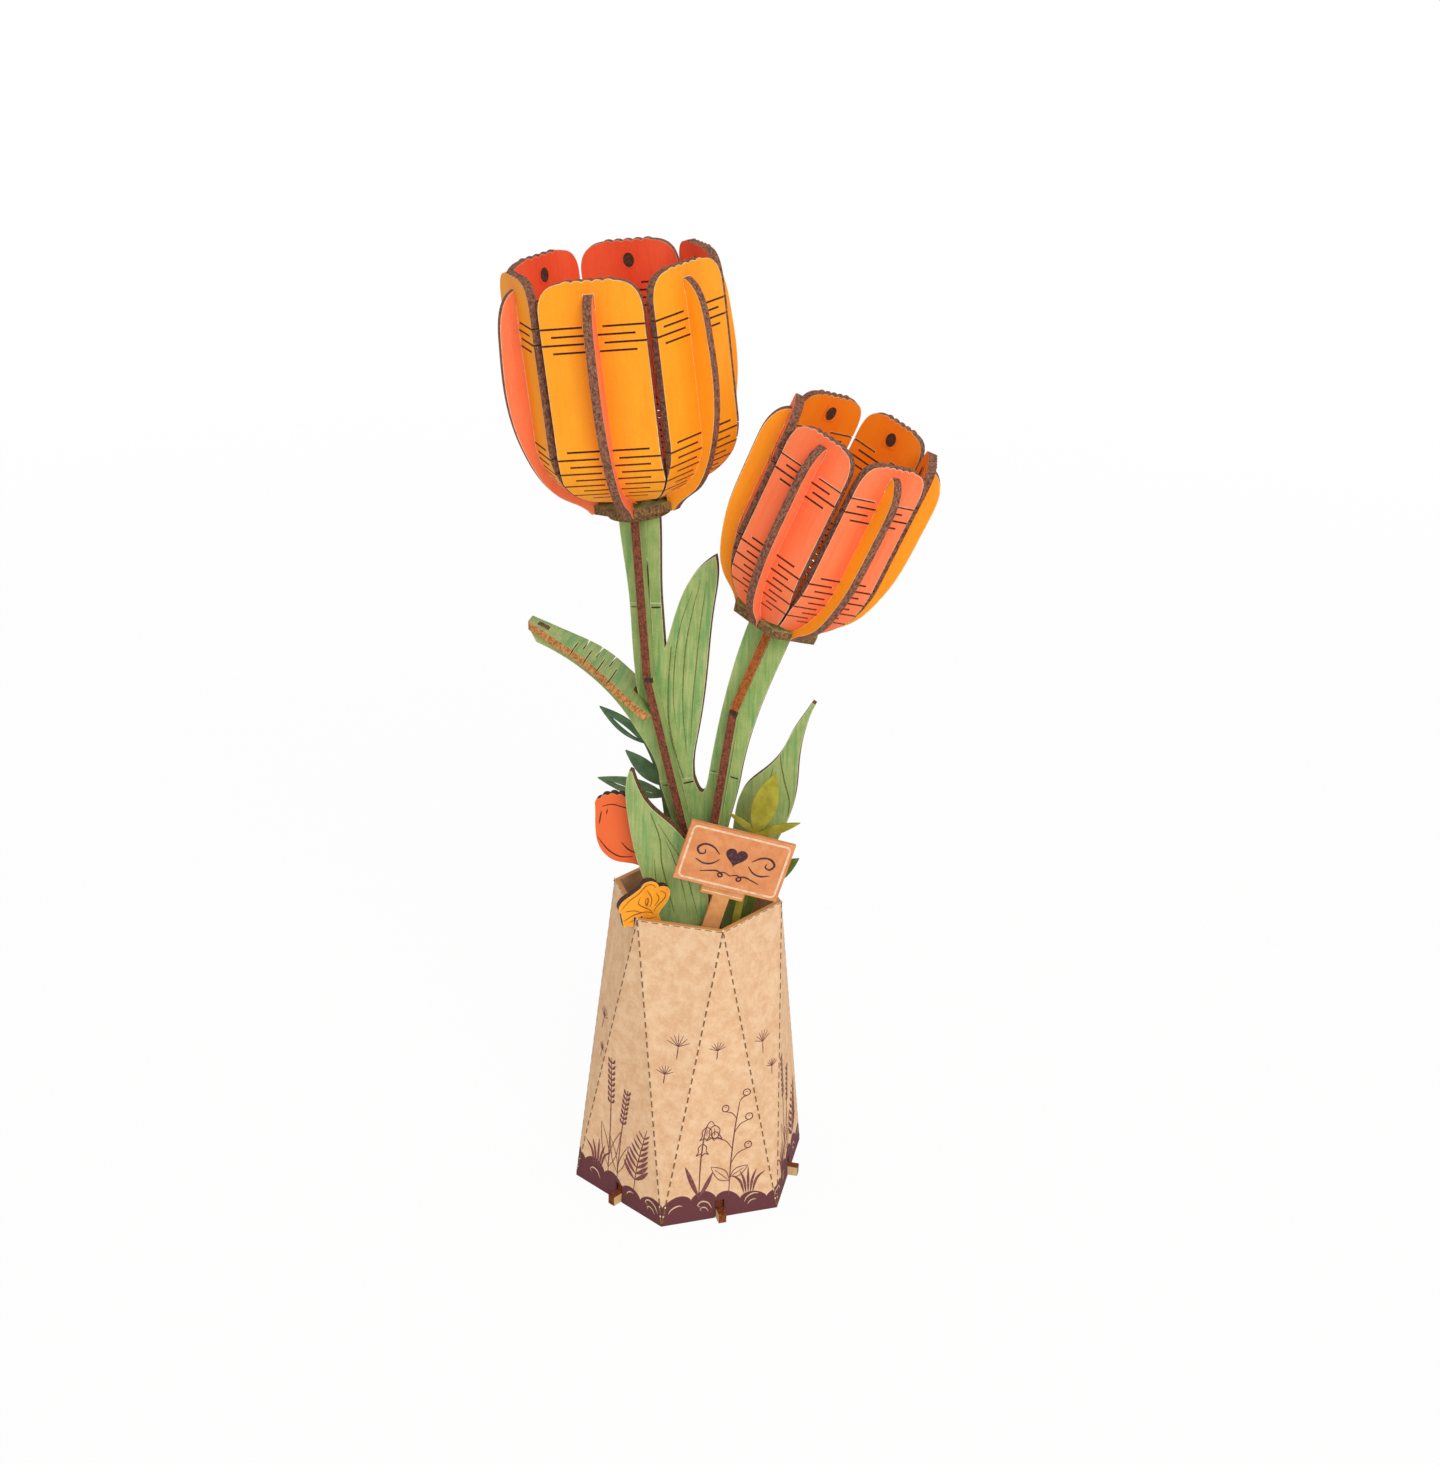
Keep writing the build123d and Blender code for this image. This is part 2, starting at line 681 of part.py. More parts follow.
def hinge_slits(flower, centre, radius):
    """Living hinges: odd rows are open at the petal's sides, even rows in its middle."""
    wall, top, lip, upper, lower, hole = head_sizes(flower)
    places = [(Pos(wall, 0, upper - row * hinge_pitch), petal_half_width(flower))
              for row in range(upper_hinge_rows)]
    for row in range(lower_hinge_rows):
        turn = row * hinge_pitch / radius
        place = Pos(centre[0], 0, centre[1]) * Rot(Y=degrees(turn)) * Pos(radius, 0, 0)
        places.append((place, half_width_at(centre[0] + (radius - ply) * cos(turn))))
    slits = []
    for row, (place, half) in enumerate(places):
        depth = 2 * (ply + overrun)
        if (row < upper_hinge_rows) == (row % 2 == 0):
            length = half - hinge_bridge + overrun
            for side in (-1, 1):
                slits.append(place * Pos(0, side * (hinge_bridge + length / 2), 0) * Box(
                    depth, length, kerf))
        else:
            slits.append(place * Box(depth, 2 * (half - hinge_bridge), kerf))
    return slits


def hole_peg(flower, extra):
    """The rib's peg near the lip, or with something extra the petal's hole for it."""
    wall, top, lip, upper, lower, hole = head_sizes(flower)
    depth = abs(wall - lip) + ply
    return Pos(wall, 0, hole) * Box(2 * depth, ply + 2 * extra, hole_height + 2 * extra)


def petal(flower):
    outer, centre, radius = petal_places(flower, 0)
    inner = petal_places(flower, ply)[0]
    section = make_face([*petal_line(outer), Line(outer[-1], inner[-1]),
                         *petal_line(inner), Line(inner[0], outer[0])])
    sheet = upright(section, 2 * petal_half_width(flower))
    sheet &= extrude(Plane.YZ * petal_front(flower), amount=large_rib_reach + overrun)
    top = outer[0][1]
    plan = petal_plan(head_seat(flower)[2])
    sheet &= extrude(Pos(0, 0, -overrun) * plan, amount=top + 2 * overrun)
    sheet -= hole_peg(flower, snug)
    for slit in hinge_slits(flower, centre, radius):
        sheet -= slit
    return sheet


def rib(flower, reach, shares):
    """Fin on a petal's outside, with a peg near the lip and a foot in the collar."""
    outer = petal_places(flower, 0)[0]
    top = outer[0][1]
    foot_reach = head_seat(flower)[3]
    back = [(share * reach, level * top) for level, share in shares]
    back.append((foot_reach, -ply))
    foot_in = (foot_reach - notch_depth + snug, -ply)
    top_in = (foot_in[0], back[0][1])
    whole = make_face([Spline(*back), Line(back[-1], foot_in), Line(foot_in, top_in),
                       Line(top_in, back[0])])
    inside = make_face([*petal_line(outer), Line(outer[-1], (0, 0)), Line((0, 0), (0, top)),
                        Line((0, top), outer[0])])
    inside = upright(inside, 2 * ply)
    return (upright(whole, ply) - inside) + (hole_peg(flower, 0) & inside)


def collar(flower, first, twist):
    """Hexagonal plate with a notch for each rib and a cross for the stem's tongues."""
    plate = extrude(Rot(Z=twist - 90) * RegularPolygon(collar_radius, sides), amount=-ply)
    notch = Pos(head_seat(flower)[3], 0, 0) * Box(2 * notch_depth, ply + 2 * snug, 4 * ply)
    for i in range(sides):
        plate -= Rot(Z=first + twist - 90 + sector * i) * notch
    return plate - tongue_cross()


def tongue_cross():
    length, thickness = tongue_width + 2 * snug, ply + 2 * snug
    return Box(length, thickness, 6 * ply) + Box(thickness, length, 6 * ply)


def cap():
    disc = extrude(Circle(cap_radius), amount=-ply) - tongue_cross()
    return Pos(0, 0, -ply) * disc


# Flat leaves and picks

def pick_foot(shares):
    return shares[0] * vase_rim_radius, shares[1] * vase_rim_radius


def peg(x, width):
    low, high = deck_under - peg_reach, 0
    return [(x + width / 2, high), (x + width / 2, low), (x - width / 2, low), (x - width / 2, high)]


def ply_leaf(foot_shares, width, over_rim, left_shares, right_shares):
    x, y = pick_foot(foot_shares)
    height = rim_level + over_rim
    foot = peg(x, pick_foot_width)
    left = [foot[-1], *at_shares(left_shares, width, height, (x, 0))]
    right = [*at_shares(right_shares, width, height, (x, 0)), foot[0]]
    edges = [Spline(*left), Line(left[-1], right[0]), Spline(*right), *Polyline(*foot).edges()]
    return upright(make_face(edges), ply, y)


def blade(base, tip, slimness):
    """A pointed leaf from base to tip, its width a share of its length."""
    width = slimness * hypot(tip[0] - base[0], tip[1] - base[1])
    right = [beside(base, tip, along(base, tip, place), share * width)
             for place, share in blade_shares]
    left = [beside(base, tip, along(base, tip, place), -share * width)
            for place, share in blade_shares]
    return make_face([Spline(base, *right, tip), Spline(base, *left, tip)])


def card_pick(foot_shares, width, over_rim, stem_shares, leaf_shares, window_shares=()):
    x, y = pick_foot(foot_shares)
    height = rim_level + over_rim
    stem = at_shares(stem_shares, width, height, (x, 0))
    face = trace(Spline(*stem), card_stem_width)
    face += make_face(Polyline(*peg(x, card_foot_width), close=True).edges())
    for base, tip, slimness in leaf_shares:
        face += blade(*at_shares((base, tip), width, height, (x, 0)), slimness)
    for base, tip, slimness in window_shares:
        face -= blade(*at_shares((base, tip), width, height, (x, 0)), slimness)
    return upright(face, card, y)


def bud():
    x, y = pick_foot(bud_foot_shares)
    side = at_shares(bud_side_shares, bud_width, bud_height, bud_at)
    notches = at_shares(bud_notch_shares, bud_width, bud_height, bud_at)
    back = at_shares(bud_back_shares, bud_width, bud_height, bud_at)
    stalk = at_shares(bud_stalk_shares, bud_width, bud_height, bud_at)
    face = make_face([Spline(*side), *scallops(notches, bud_scallop), Spline(*back),
                      Line(back[-1], side[0])])
    face += trace(Spline(*stalk, (x, 0)), bud_stalk_width)
    face += make_face(Polyline(*peg(x, pick_foot_width), close=True).edges())
    return upright(face, ply, y)


def flutter():
    runs = [at_shares(run, flutter_width, flutter_height) for run in flutter_lobe_shares]
    piece = upright(outline(*runs), ply)
    slot_at = flutter_slot_share * flutter_width
    piece -= Pos(slot_at, 0, 0) * Box(2 * card + 2 * rim_clearance, 2 * ply, 2 * flutter_grip)
    corners = ring(vase_rim_radius - card, rim_level, -sector / 2)
    place = corners[-1] + (corners[0] - corners[-1]) * flutter_rim_share
    return Pos(place.X, place.Y, rim_level - flutter_grip) * Rot(Z=flutter_turn) * Pos(
        -slot_at, 0, 0) * piece


def sign_place():
    """Where the sign's middle is; the stake hangs down from it along its own upright."""
    x, y = pick_foot(sign_rim_shares)
    return Pos(x, y, rim_level) * Rot(Z=sign_turn) * Rot(Y=sign_tilt) * Pos(0, 0, sign_rise)


def stake_body(extra):
    low = -sign_rise - (rim_level - deck_under + peg_reach) / cos(radians(sign_tilt))
    high = stake_overlap - sign_height / 2
    return Pos(0, sign_card, (low + high) / 2) * Box(
        stake_width + extra, sign_card + extra, high - low)


def sign_stake():
    ledge = Pos(0, sign_card, -sign_height / 2) * Box(ledge_width, sign_card, 2 * ledge_height)
    return sign_place() * (stake_body(0) + ledge)


def sign_board():
    return sign_place() * Box(sign_width, sign_card, sign_height)


# All pieces by name

def flower_head(flower, one_rib, place, lean, first, twist):
    """Petals, ribs and collar round a leaning axis, the first petal at an azimuth."""
    stand = Pos(place[0], 0, place[1]) * Rot(Y=lean)
    one_petal = petal(flower)
    pieces = {flower + "_collar": stand * collar(flower, first, twist)}
    for i in range(sides):
        turn = Rot(Z=first + twist - 90 + sector * i)
        pieces[f"{flower}_petal_{i + 1}"] = stand * turn * one_petal
        pieces[f"{flower}_rib_{i + 1}"] = stand * turn * one_rib
    return pieces


def bouquet():
    pieces = {
        "root_plank": root_plank(),
        "large_middle_plank": middle_plank(),
        "large_top_plank": large_top_plank(),
        "small_top_plank": small_top_plank(),
        "large_lower_spine": lower_spine(large_foot, large_knee, large_joint_at),
        "small_lower_spine": lower_spine(small_foot, small_knee, small_joint_at),
        "large_upper_spine": large_upper_spine(),
        "small_upper_spine": small_upper_spine(),
        "draped_leaf": draped_leaf(),
        "front_leaf": ply_leaf(front_leaf_foot_shares, front_leaf_width, front_leaf_over_rim,
                               front_leaf_left_shares, front_leaf_right_shares),
        "right_leaf": ply_leaf(right_leaf_foot_shares, right_leaf_width, right_leaf_over_rim,
                               right_leaf_left_shares, right_leaf_right_shares),
        "twig": card_pick(twig_foot_shares, twig_width, twig_over_rim, twig_stem_shares,
                          twig_leaf_shares, twig_window_shares),
        "sprig": card_pick(sprig_foot_shares, sprig_width, sprig_over_rim, sprig_stem_shares,
                           sprig_leaf_shares),
        "low_sprig": card_pick(low_sprig_foot_shares, low_sprig_width, low_sprig_over_rim,
                               low_sprig_stem_shares, low_sprig_leaf_shares),
        "bud": bud(),
        "flutter": flutter(),
        "sign_board": sign_board(),
        "sign_stake": sign_stake(),
        "deck": deck(),
        "large_cap": Pos(large_collar_at[0], 0, large_collar_at[1]) * Rot(Y=large_lean) * cap()}
    pieces.update(flower_head("large", rib("large", large_rib_reach, large_rib_shares),
                              large_collar_at, large_lean, 0, large_twist))
    pieces.update(flower_head("small", rib("small", small_rib_reach, small_rib_shares),
                              small_collar_at, small_lean, sector / 2, small_twist))
    return {name: Pos(0, 0, deck_top) * piece for name, piece in pieces.items()}


def ornament():
    third = board_height / 3
    pieces = bouquet()
    pieces["vase_sleeve"] = vase_sleeve()
    pieces["low_board"] = cross_board(sector, 0, third)
    pieces["middle_board"] = cross_board(-sector, third, 2 * third)
    return pieces


os.makedirs("parts", exist_ok=True)
for name, piece in ornament().items():
    export_step(piece, f"parts/{name}.step")
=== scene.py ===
import bpy, bmesh, json, math
from mathutils import Matrix, Vector

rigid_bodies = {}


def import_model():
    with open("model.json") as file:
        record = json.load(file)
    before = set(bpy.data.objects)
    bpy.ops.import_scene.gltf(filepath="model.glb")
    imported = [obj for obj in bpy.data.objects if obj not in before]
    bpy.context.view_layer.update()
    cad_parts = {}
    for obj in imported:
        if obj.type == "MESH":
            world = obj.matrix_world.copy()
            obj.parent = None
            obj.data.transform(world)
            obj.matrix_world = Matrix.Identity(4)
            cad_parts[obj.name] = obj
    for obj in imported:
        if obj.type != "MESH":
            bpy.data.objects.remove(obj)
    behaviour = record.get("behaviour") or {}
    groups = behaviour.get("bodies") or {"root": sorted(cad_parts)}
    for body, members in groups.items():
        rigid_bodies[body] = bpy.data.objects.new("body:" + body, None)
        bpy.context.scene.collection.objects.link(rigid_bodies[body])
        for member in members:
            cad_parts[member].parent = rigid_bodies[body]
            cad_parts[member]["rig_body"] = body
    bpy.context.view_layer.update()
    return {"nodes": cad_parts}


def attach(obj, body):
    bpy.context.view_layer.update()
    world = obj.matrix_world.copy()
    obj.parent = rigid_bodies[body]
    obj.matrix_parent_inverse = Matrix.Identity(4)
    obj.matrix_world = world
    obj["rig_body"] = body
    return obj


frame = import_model()
nodes = frame["nodes"]
mm = 0.001
print("frame loaded:", len(nodes), "nodes")


# helpers

def linear(code):  # sRGB hex to linear RGBA
    parts = [int(code[i:i + 2], 16) / 255 for i in (1, 3, 5)]
    return (*[c / 12.92 if c <= 0.04045 else ((c + 0.055) / 1.055) ** 2.4 for c in parts], 1)


# adds a node with its settings and links, and gives one of its outputs
def addNode(tree, kind, feeds=None, out=0, **settings):
    node = tree.nodes.new("ShaderNode" + kind)
    for key, value in settings.items():
        setattr(node, key, value)
    for key, value in (feeds or {}).items():
        if isinstance(value, bpy.types.NodeSocket):
            tree.links.new(value, node.inputs[key])
        else:
            node.inputs[key].default_value = value
    return node.outputs[out]


def calc(tree, operation, *values):  # one step of arithmetic
    return addNode(tree, "Math", dict(enumerate(values)), operation=operation)


def partOf(tree, vector, axis):
    return addNode(tree, "SeparateXYZ", {0: vector}, out="XYZ".index(axis))


def coordinate(tree, kind="Object"):  # places or normals in the piece's own frame
    return addNode(tree, "TexCoord", out=kind)


def mixed(tree, amount, low, high):  # blend of two colours by an amount
    return addNode(tree, "Mix", {0: amount, 6: low, 7: high}, out=2, data_type="RGBA")


def ramped(tree, value, start, end, low=0.0, high=1.0):  # soft step between two limits
    return addNode(tree, "MapRange", {0: value, 1: start, 2: end, 3: low, 4: high},
                   interpolation_type="SMOOTHSTEP")


def noiseAt(tree, place, size, detail=3.0, rough=0.6):  # noise of a real size in mm, or three
    sizes = size if isinstance(size, tuple) else (size,) * 3
    spread = addNode(tree, "Mapping", {"Vector": place, "Scale": [1000 / s for s in sizes]})
    return addNode(tree, "TexNoise", {"Vector": spread, "Scale": 1.0, "Detail": detail,
                                      "Roughness": rough})


def newMaterial(name, roughness, specular=0.4):
    material = bpy.data.materials.new(name)
    material.use_nodes = True
    shader = material.node_tree.nodes["Principled BSDF"]
    shader.inputs["Roughness"].default_value = roughness
    shader.inputs["Specular IOR Level"].default_value = specular
    return material, material.node_tree, shader


reliefDepth = 0.05


def finishLook(tree, shader, colour, relief=None, strength=0.2):  # colour and shallow relief
    tree.links.new(colour, shader.inputs["Base Color"])
    if relief is not None:
        bump = addNode(tree, "Bump", {"Strength": strength, "Distance": reliefDepth * mm,
                                      "Height": relief})
        tree.links.new(bump, shader.inputs["Normal"])


# camera: the photograph's own view, worked out from the object's edges

cameraView = {"azimuth": 11.85, "elevation": 24.91, "roll": 1.94, "distance": 474.37,
              "aside": 3.82, "height": 110.91, "lens": 54.06, "sensor": 36,
              "nearest": 0.02, "farthest": 60}


def makeCamera(v):
    a, e, r = (math.radians(v[k]) for k in ("azimuth", "elevation", "roll"))
    back = Vector((math.sin(a) * math.cos(e), -math.cos(a) * math.cos(e), math.sin(e)))
    right = Vector((math.cos(a), math.sin(a), 0))
    up = back.cross(right)
    across = right * math.cos(r) + up * math.sin(r)
    above = up * math.cos(r) - right * math.sin(r)
    target = Vector((v["aside"] * math.cos(a), v["aside"] * math.sin(a), v["height"])) * mm
    place = target + back * v["distance"] * mm
    data = bpy.data.cameras.new("camera")
    data.lens, data.sensor_width = v["lens"], v["sensor"]  # the sensor's width is its long side
    data.clip_start, data.clip_end = v["nearest"], v["farthest"]
    camera = bpy.data.objects.new("camera", data)
    camera.matrix_world = Matrix((
        (across.x, above.x, back.x, place.x), (across.y, above.y, back.y, place.y),
        (across.z, above.z, back.z, place.z), (0, 0, 0, 1)))
    bpy.context.scene.collection.objects.link(camera)
    bpy.context.scene.camera = camera


makeCamera(cameraView)
print("camera set")


# sheets seen from their own side: where the sheet's face is and where its cut edge

heads = {
    "large": {"place": (-15.2, 0, 162.9), "lean": -8.0, "first": 3.5, "wall": 20.2, "top": 49.2,
              "seat": 6.6, "tuck": 62.0, "lower": 15.6},
    "small": {"place": (15.6, 0, 141.0), "lean": 21.7, "first": 37.8, "wall": 15.4, "top": 43.6,
              "seat": 8.2, "tuck": 44.0, "lower": 17.0}}
petalIndices = range(1, 7)
petalStep = 60
upright = Matrix.Identity(4)


def leaning(degrees):  # frame whose Z leans from the upright towards +X
    return Matrix.Rotation(math.radians(degrees), 4, "Y")


def turned(degrees):  # frame turned about the upright
    return Matrix.Rotation(math.radians(degrees), 4, "Z")


def shifted(place):
    return Matrix.Translation(Vector(place) * mm)


def headFrame(flower, index=None):  # stand of a flower's axis, or of its petal or rib facing +X
    h = heads[flower]
    stand = shifted(h["place"]) @ leaning(h["lean"])
    if index is None:
        return stand
    return stand @ turned(h["first"] - 90 + petalStep * (index - 1))


def bendCentre(flower):  # centre of the petal's lower bend, out and up, in mm
    h = heads[flower]
    tuck = math.radians(h["tuck"])
    slope = 1 / math.tan(tuck)
    radius = (h["lower"] - (h["wall"] - h["seat"]) * slope) / (
        math.sin(tuck) - (1 - math.cos(tuck)) * slope)
    return h["wall"] - radius, h["lower"]


def sheetSockets(tree, stand):  # place and normal in the sheet's own frame, at rest
    turn = stand.to_euler("XYZ")
    place = addNode(tree, "Mapping", {"Vector": coordinate(tree), "Rotation": turn,
                                      "Location": stand.translation}, vector_type="TEXTURE")
    normal = addNode(tree, "Mapping", {"Vector": coordinate(tree, "Normal"), "Rotation": turn},
                     vector_type="TEXTURE")
    return place, normal


# 1 on the front, -1 on the back, near 0 on cut edges
def facingOf(tree, place, normal, axis, bend):
    if bend is None:
        return partOf(tree, normal, axis)
    out = calc(tree, "SUBTRACT", partOf(tree, place, "X"), bend[0] * mm)
    down = calc(tree, "SUBTRACT", partOf(tree, place, "Z"), bend[1] * mm)
    down = calc(tree, "MINIMUM", down, 0.0)
    away = addNode(tree, "CombineXYZ", {0: out, 2: down})
    away = addNode(tree, "VectorMath", {0: away}, operation="NORMALIZE")
    return addNode(tree, "VectorMath", {0: away, 1: normal}, out="Value", operation="DOT_PRODUCT")


# laser-cut plywood, dyed on both faces: fine grain in a matt colour, and charred edges

plyLooks = {
    "yellow": {"light": "#FFAE1E", "deep": "#FF9206", "tint": "#FF8602", "pale": "#FFD084"},
    "orange": {"light": "#FF9A1C", "deep": "#FF820C", "tint": "#FF7408", "pale": "#FFBE6E"},
    "red": {"light": "#FF7044", "deep": "#FF5224", "tint": "#F04018", "pale": "#FF9C7C"},
    "coral": {"light": "#FF8A58", "deep": "#FF7240", "tint": "#FF5C28", "pale": "#FFBE9C"},
    "green": {"light": "#B3C078", "deep": "#83A45A", "tint": "#68A25E", "pale": "#CDD09A"},
    "bud": {"light": "#FF7A3C", "deep": "#FA6430", "tint": "#F2552A", "pale": "#FF9468"},
    "gold": {"light": "#FFAE2A", "deep": "#FF9818", "tint": "#F5860C", "pale": "#FFC76A"},
    "bare": {"light": "#EBC88F", "deep": "#DBAE6E", "tint": "#CF9C58", "pale": "#F5DEB0"}}
charLooks = {
    "petal": {"dark": "#60392C", "mid": "#8E5E48", "light": "#B68C72"},
    "green": {"dark": "#4A3020", "mid": "#7A5232", "light": "#A88458"},
    "olive": {"dark": "#583E28", "mid": "#86643C", "light": "#B4945C"},
    "black": {"dark": "#2E2018", "mid": "#54382A", "light": "#84644C"},
    "rust": {"dark": "#8A4418", "mid": "#A85A22", "light": "#C07A3C"},
    "maroon": {"dark": "#5E2E20", "mid": "#84452E", "light": "#A06A50"},
    "tan": {"dark": "#9A6230", "mid": "#CC8E50", "light": "#EDB678"},
    "burnt": {"dark": "#5E2814", "mid": "#8A421C", "light": "#B06C3A"}}
plyGrain = {"across": 0.45, "along": 9.0, "through": 9.0, "streakAcross": 1.5,
            "streakAlong": 16.0, "blotch": 5.0, "speck": 0.35, "soot": (0.55, 0.55, 0.9),
            "ash": (0.28, 0.28, 0.4), "relief": 0.25, "faceRough": 0.6, "edgeRough": 0.85}
grainShow = {"green": 1.0, "bare": 1.0, "gold": 0.5}
evenShow = 0.3  # the flower sheets are dyed nearly even
paintedRibShade = {"near": 0.5, "far": 6.5, "share": 0.45}  # painted shade: the petal's face is darker towards the rib, standing in for the rib's shadow
bareFade = 3.0


def grainSizes(axis, across, along):  # the grain runs up the sheet, thin across it
    through = plyGrain["through"]
    return {"X": (through, across, along), "Y": (across, through, along),
            "Z": (across, along, through)}[axis]


def plyFace(tree, look, place, tone, streak, speck, pool):  # one dyed face
    colours, show = plyLooks[look], grainShow.get(look, evenShow)
    share = addNode(tree, "MapRange", {0: tone, 3: 0.4 * (1 - show), 4: 0.4 + 0.6 * show})
    face = mixed(tree, share, linear(colours["light"]), linear(colours["deep"]))
    tint = ramped(tree, streak, 0.5, 0.68, 0, 0.75 * show)
    face = mixed(tree, tint, face, linear(colours["tint"]))
    # painted shade: towards the rib the face takes the darker tint, for the rib's shadow
    if pool is not None:
        across = calc(tree, "ABSOLUTE", partOf(tree, place, "Y"))
        pooled = ramped(tree, across, paintedRibShade["far"] * mm, paintedRibShade["near"] * mm, 0, pool)
        face = mixed(tree, pooled, face, linear(colours["tint"]))
    dots = ramped(tree, speck, 0.6, 0.78, 0, 0.1 + 0.3 * show)
    return mixed(tree, dots, face, linear(colours["pale"]))


def charredEdge(tree, place, char):  # soot in blotches, and specks of ash
    burn = charLooks[char]
    soot = noiseAt(tree, place, plyGrain["soot"])
    ash = noiseAt(tree, place, plyGrain["ash"], 2)
    burnt = mixed(tree, ramped(tree, soot, 0.38, 0.62), linear(burn["dark"]), linear(burn["mid"]))
    return mixed(tree, ramped(tree, ash, 0.52, 0.7, 0, 0.7), burnt, linear(burn["light"]))


def dyedPly(name, stand, axis, looks, bend=None, pool=None, char="petal", bareBelow=None):
    material, tree, shader = newMaterial(name, 0.62, 0.3)
    place, normal = sheetSockets(tree, stand)
    facing = facingOf(tree, place, normal, axis, bend)
    g = plyGrain
    grain = noiseAt(tree, place, grainSizes(axis, g["across"], g["along"]), 4)
    streak = noiseAt(tree, place, grainSizes(axis, g["streakAcross"], g["streakAlong"]))
    blotch = noiseAt(tree, place, g["blotch"])
    speck = noiseAt(tree, place, g["speck"], 1)
    tone = calc(tree, "MULTIPLY_ADD", grain, 0.55, -0.02)
    tone = calc(tree, "MULTIPLY_ADD", blotch, 0.5, tone)
    tone = ramped(tree, tone, 0.32, 0.72)
    front, back = (plyFace(tree, look, place, tone, streak, speck, pool) for look in looks)
    face = mixed(tree, ramped(tree, facing, -0.1, 0.1), back, front)
    burnt = charredEdge(tree, place, char)
    if bareBelow is not None:  # what stands inside the vase is left undyed
        isBare = ramped(tree, partOf(tree, place, "Z"), (bareBelow + bareFade) * mm,
                        (bareBelow - bareFade) * mm)
        bare = plyLooks["bare"]
        wood = mixed(tree, tone, linear(bare["light"]), linear(bare["deep"]))
        face = mixed(tree, isBare, face, wood)
        burnt = mixed(tree, isBare, burnt, linear(charLooks["burnt"]["mid"]))
    isFace = ramped(tree, calc(tree, "ABSOLUTE", facing), 0.5, 0.62)
    rough = addNode(tree, "MapRange", {0: isFace, 3: g["edgeRough"], 4: g["faceRough"]})
    tree.links.new(rough, shader.inputs["Roughness"])
    finishLook(tree, shader, mixed(tree, isFace, burnt, face), calc(tree, "ADD", grain, speck),
               g["relief"])
    return material


def dress(node, material):
    mesh = nodes[node].data
    if len(mesh.materials):
        for i in range(len(mesh.materials)):
            mesh.materials[i] = material
    else:
        mesh.materials.append(material)


faceTests = {}  # per dyed node: stand, axis and bend of its faces, and their dyes


def dressSheet(node, stand, axis, looks, name=None, bend=None, **more):
    dress(node, dyedPly(f"dyed ply {name or node}", stand, axis, looks, bend, **more))
    faceTests[node] = (stand, axis, bend, looks)


petalLooks = {"large": ("yellow", "red"), "small": ("coral", "orange")}
ribLooks, flippedLooks = ("coral", "yellow"), ("yellow", "coral")
flippedRibs = ("small_rib_5",)
bothGreen = ("green", "green")
for flower, looks in petalLooks.items():
    for i in petalIndices:
        stand, rib = headFrame(flower, i), f"{flower}_rib_{i}"
        # the petals' faces carry painted shade beside the rib
        dressSheet(f"{flower}_petal_{i}", stand, "X", looks, bend=bendCentre(flower),
                   pool=paintedRibShade["share"])
        dressSheet(rib, stand, "Y", flippedLooks if rib in flippedRibs else ribLooks)
    dressSheet(f"{flower}_collar", headFrame(flower), "Z", bothGreen, char="olive")
dressSheet("large_cap", headFrame("large"), "Z", bothGreen, "large cap", char="olive")

greenPly = dyedPly("dyed ply green upright", upright, "Y", bothGreen, char="green")
for node in ("large_middle_plank", "large_top_plank", "small_top_plank", "front_leaf",
             "right_leaf"):
    dress(node, greenPly)
    faceTests[node] = (upright, "Y", None, bothGreen)
dressSheet("root_plank", upright, "Y", bothGreen, "root plank", char="green", bareBelow=60.0)
spines = {"large_lower_spine": (-14.4, "maroon"), "large_upper_spine": (-5.7, "maroon"),
          "small_lower_spine": (7.1, "maroon"), "small_upper_spine": (19.0, "rust")}
for node, (lean, char) in spines.items():
    dressSheet(node, leaning(lean), "X", bothGreen, char=char)
drapeLean = 32.0
dressSheet("draped_leaf", leaning(drapeLean), "Z", bothGreen, "draped leaf", char="tan")
dressSheet("bud", upright, "Y", ("bud", "bud"), char="black")
flutterStand = turned(30)
dressSheet("flutter", flutterStand, "Y", ("gold", "gold"), char="black")
bothBare = ("bare", "bare")
for node, turn in (("low_board", 60), ("middle_board", -60)):
    dress(node, dyedPly(f"bare ply {node}", turned(turn), "Y", bothBare, char="burnt"))
dress("deck", dyedPly("bare ply deck", upright, "Z", bothBare, char="burnt"))
print("plywood dressed")


# card: pressed fibre, matt, with flecks

cardLooks = {
    "twig": {"light": "#68885F", "deep": "#537352", "fleck": "#84A37A"},
    "sprig": {"light": "#B2A93C", "deep": "#968E2A", "fleck": "#C9C05E"},
    "low_sprig": {"light": "#6F7F30", "deep": "#596A28", "fleck": "#8B9A45"},
    "sign_board": {"light": "#E59A66", "deep": "#DB8A56", "fleck": "#F0B184"},
    "sign_stake": {"light": "#E2A063", "deep": "#D69052", "fleck": "#EDB57E"}}
cardGrain = {"cloud": 3.0, "fleck": (0.4, 0.4, 0.9)}


def fibreCard(name, look):
    material, tree, shader = newMaterial(name, 0.8, 0.2)
    place = coordinate(tree)
    cloud = noiseAt(tree, place, cardGrain["cloud"], 4)
    fleck = noiseAt(tree, place, cardGrain["fleck"], 2)
    colour = mixed(tree, ramped(tree, cloud, 0.35, 0.65), linear(look["light"]),
                   linear(look["deep"]))
    colour = mixed(tree, ramped(tree, fleck, 0.6, 0.75, 0, 0.5), colour, linear(look["fleck"]))
    finishLook(tree, shader, colour, fleck)
    return material


for node, look in cardLooks.items():
    dress(node, fibreCard(f"fibre card {node}", look))
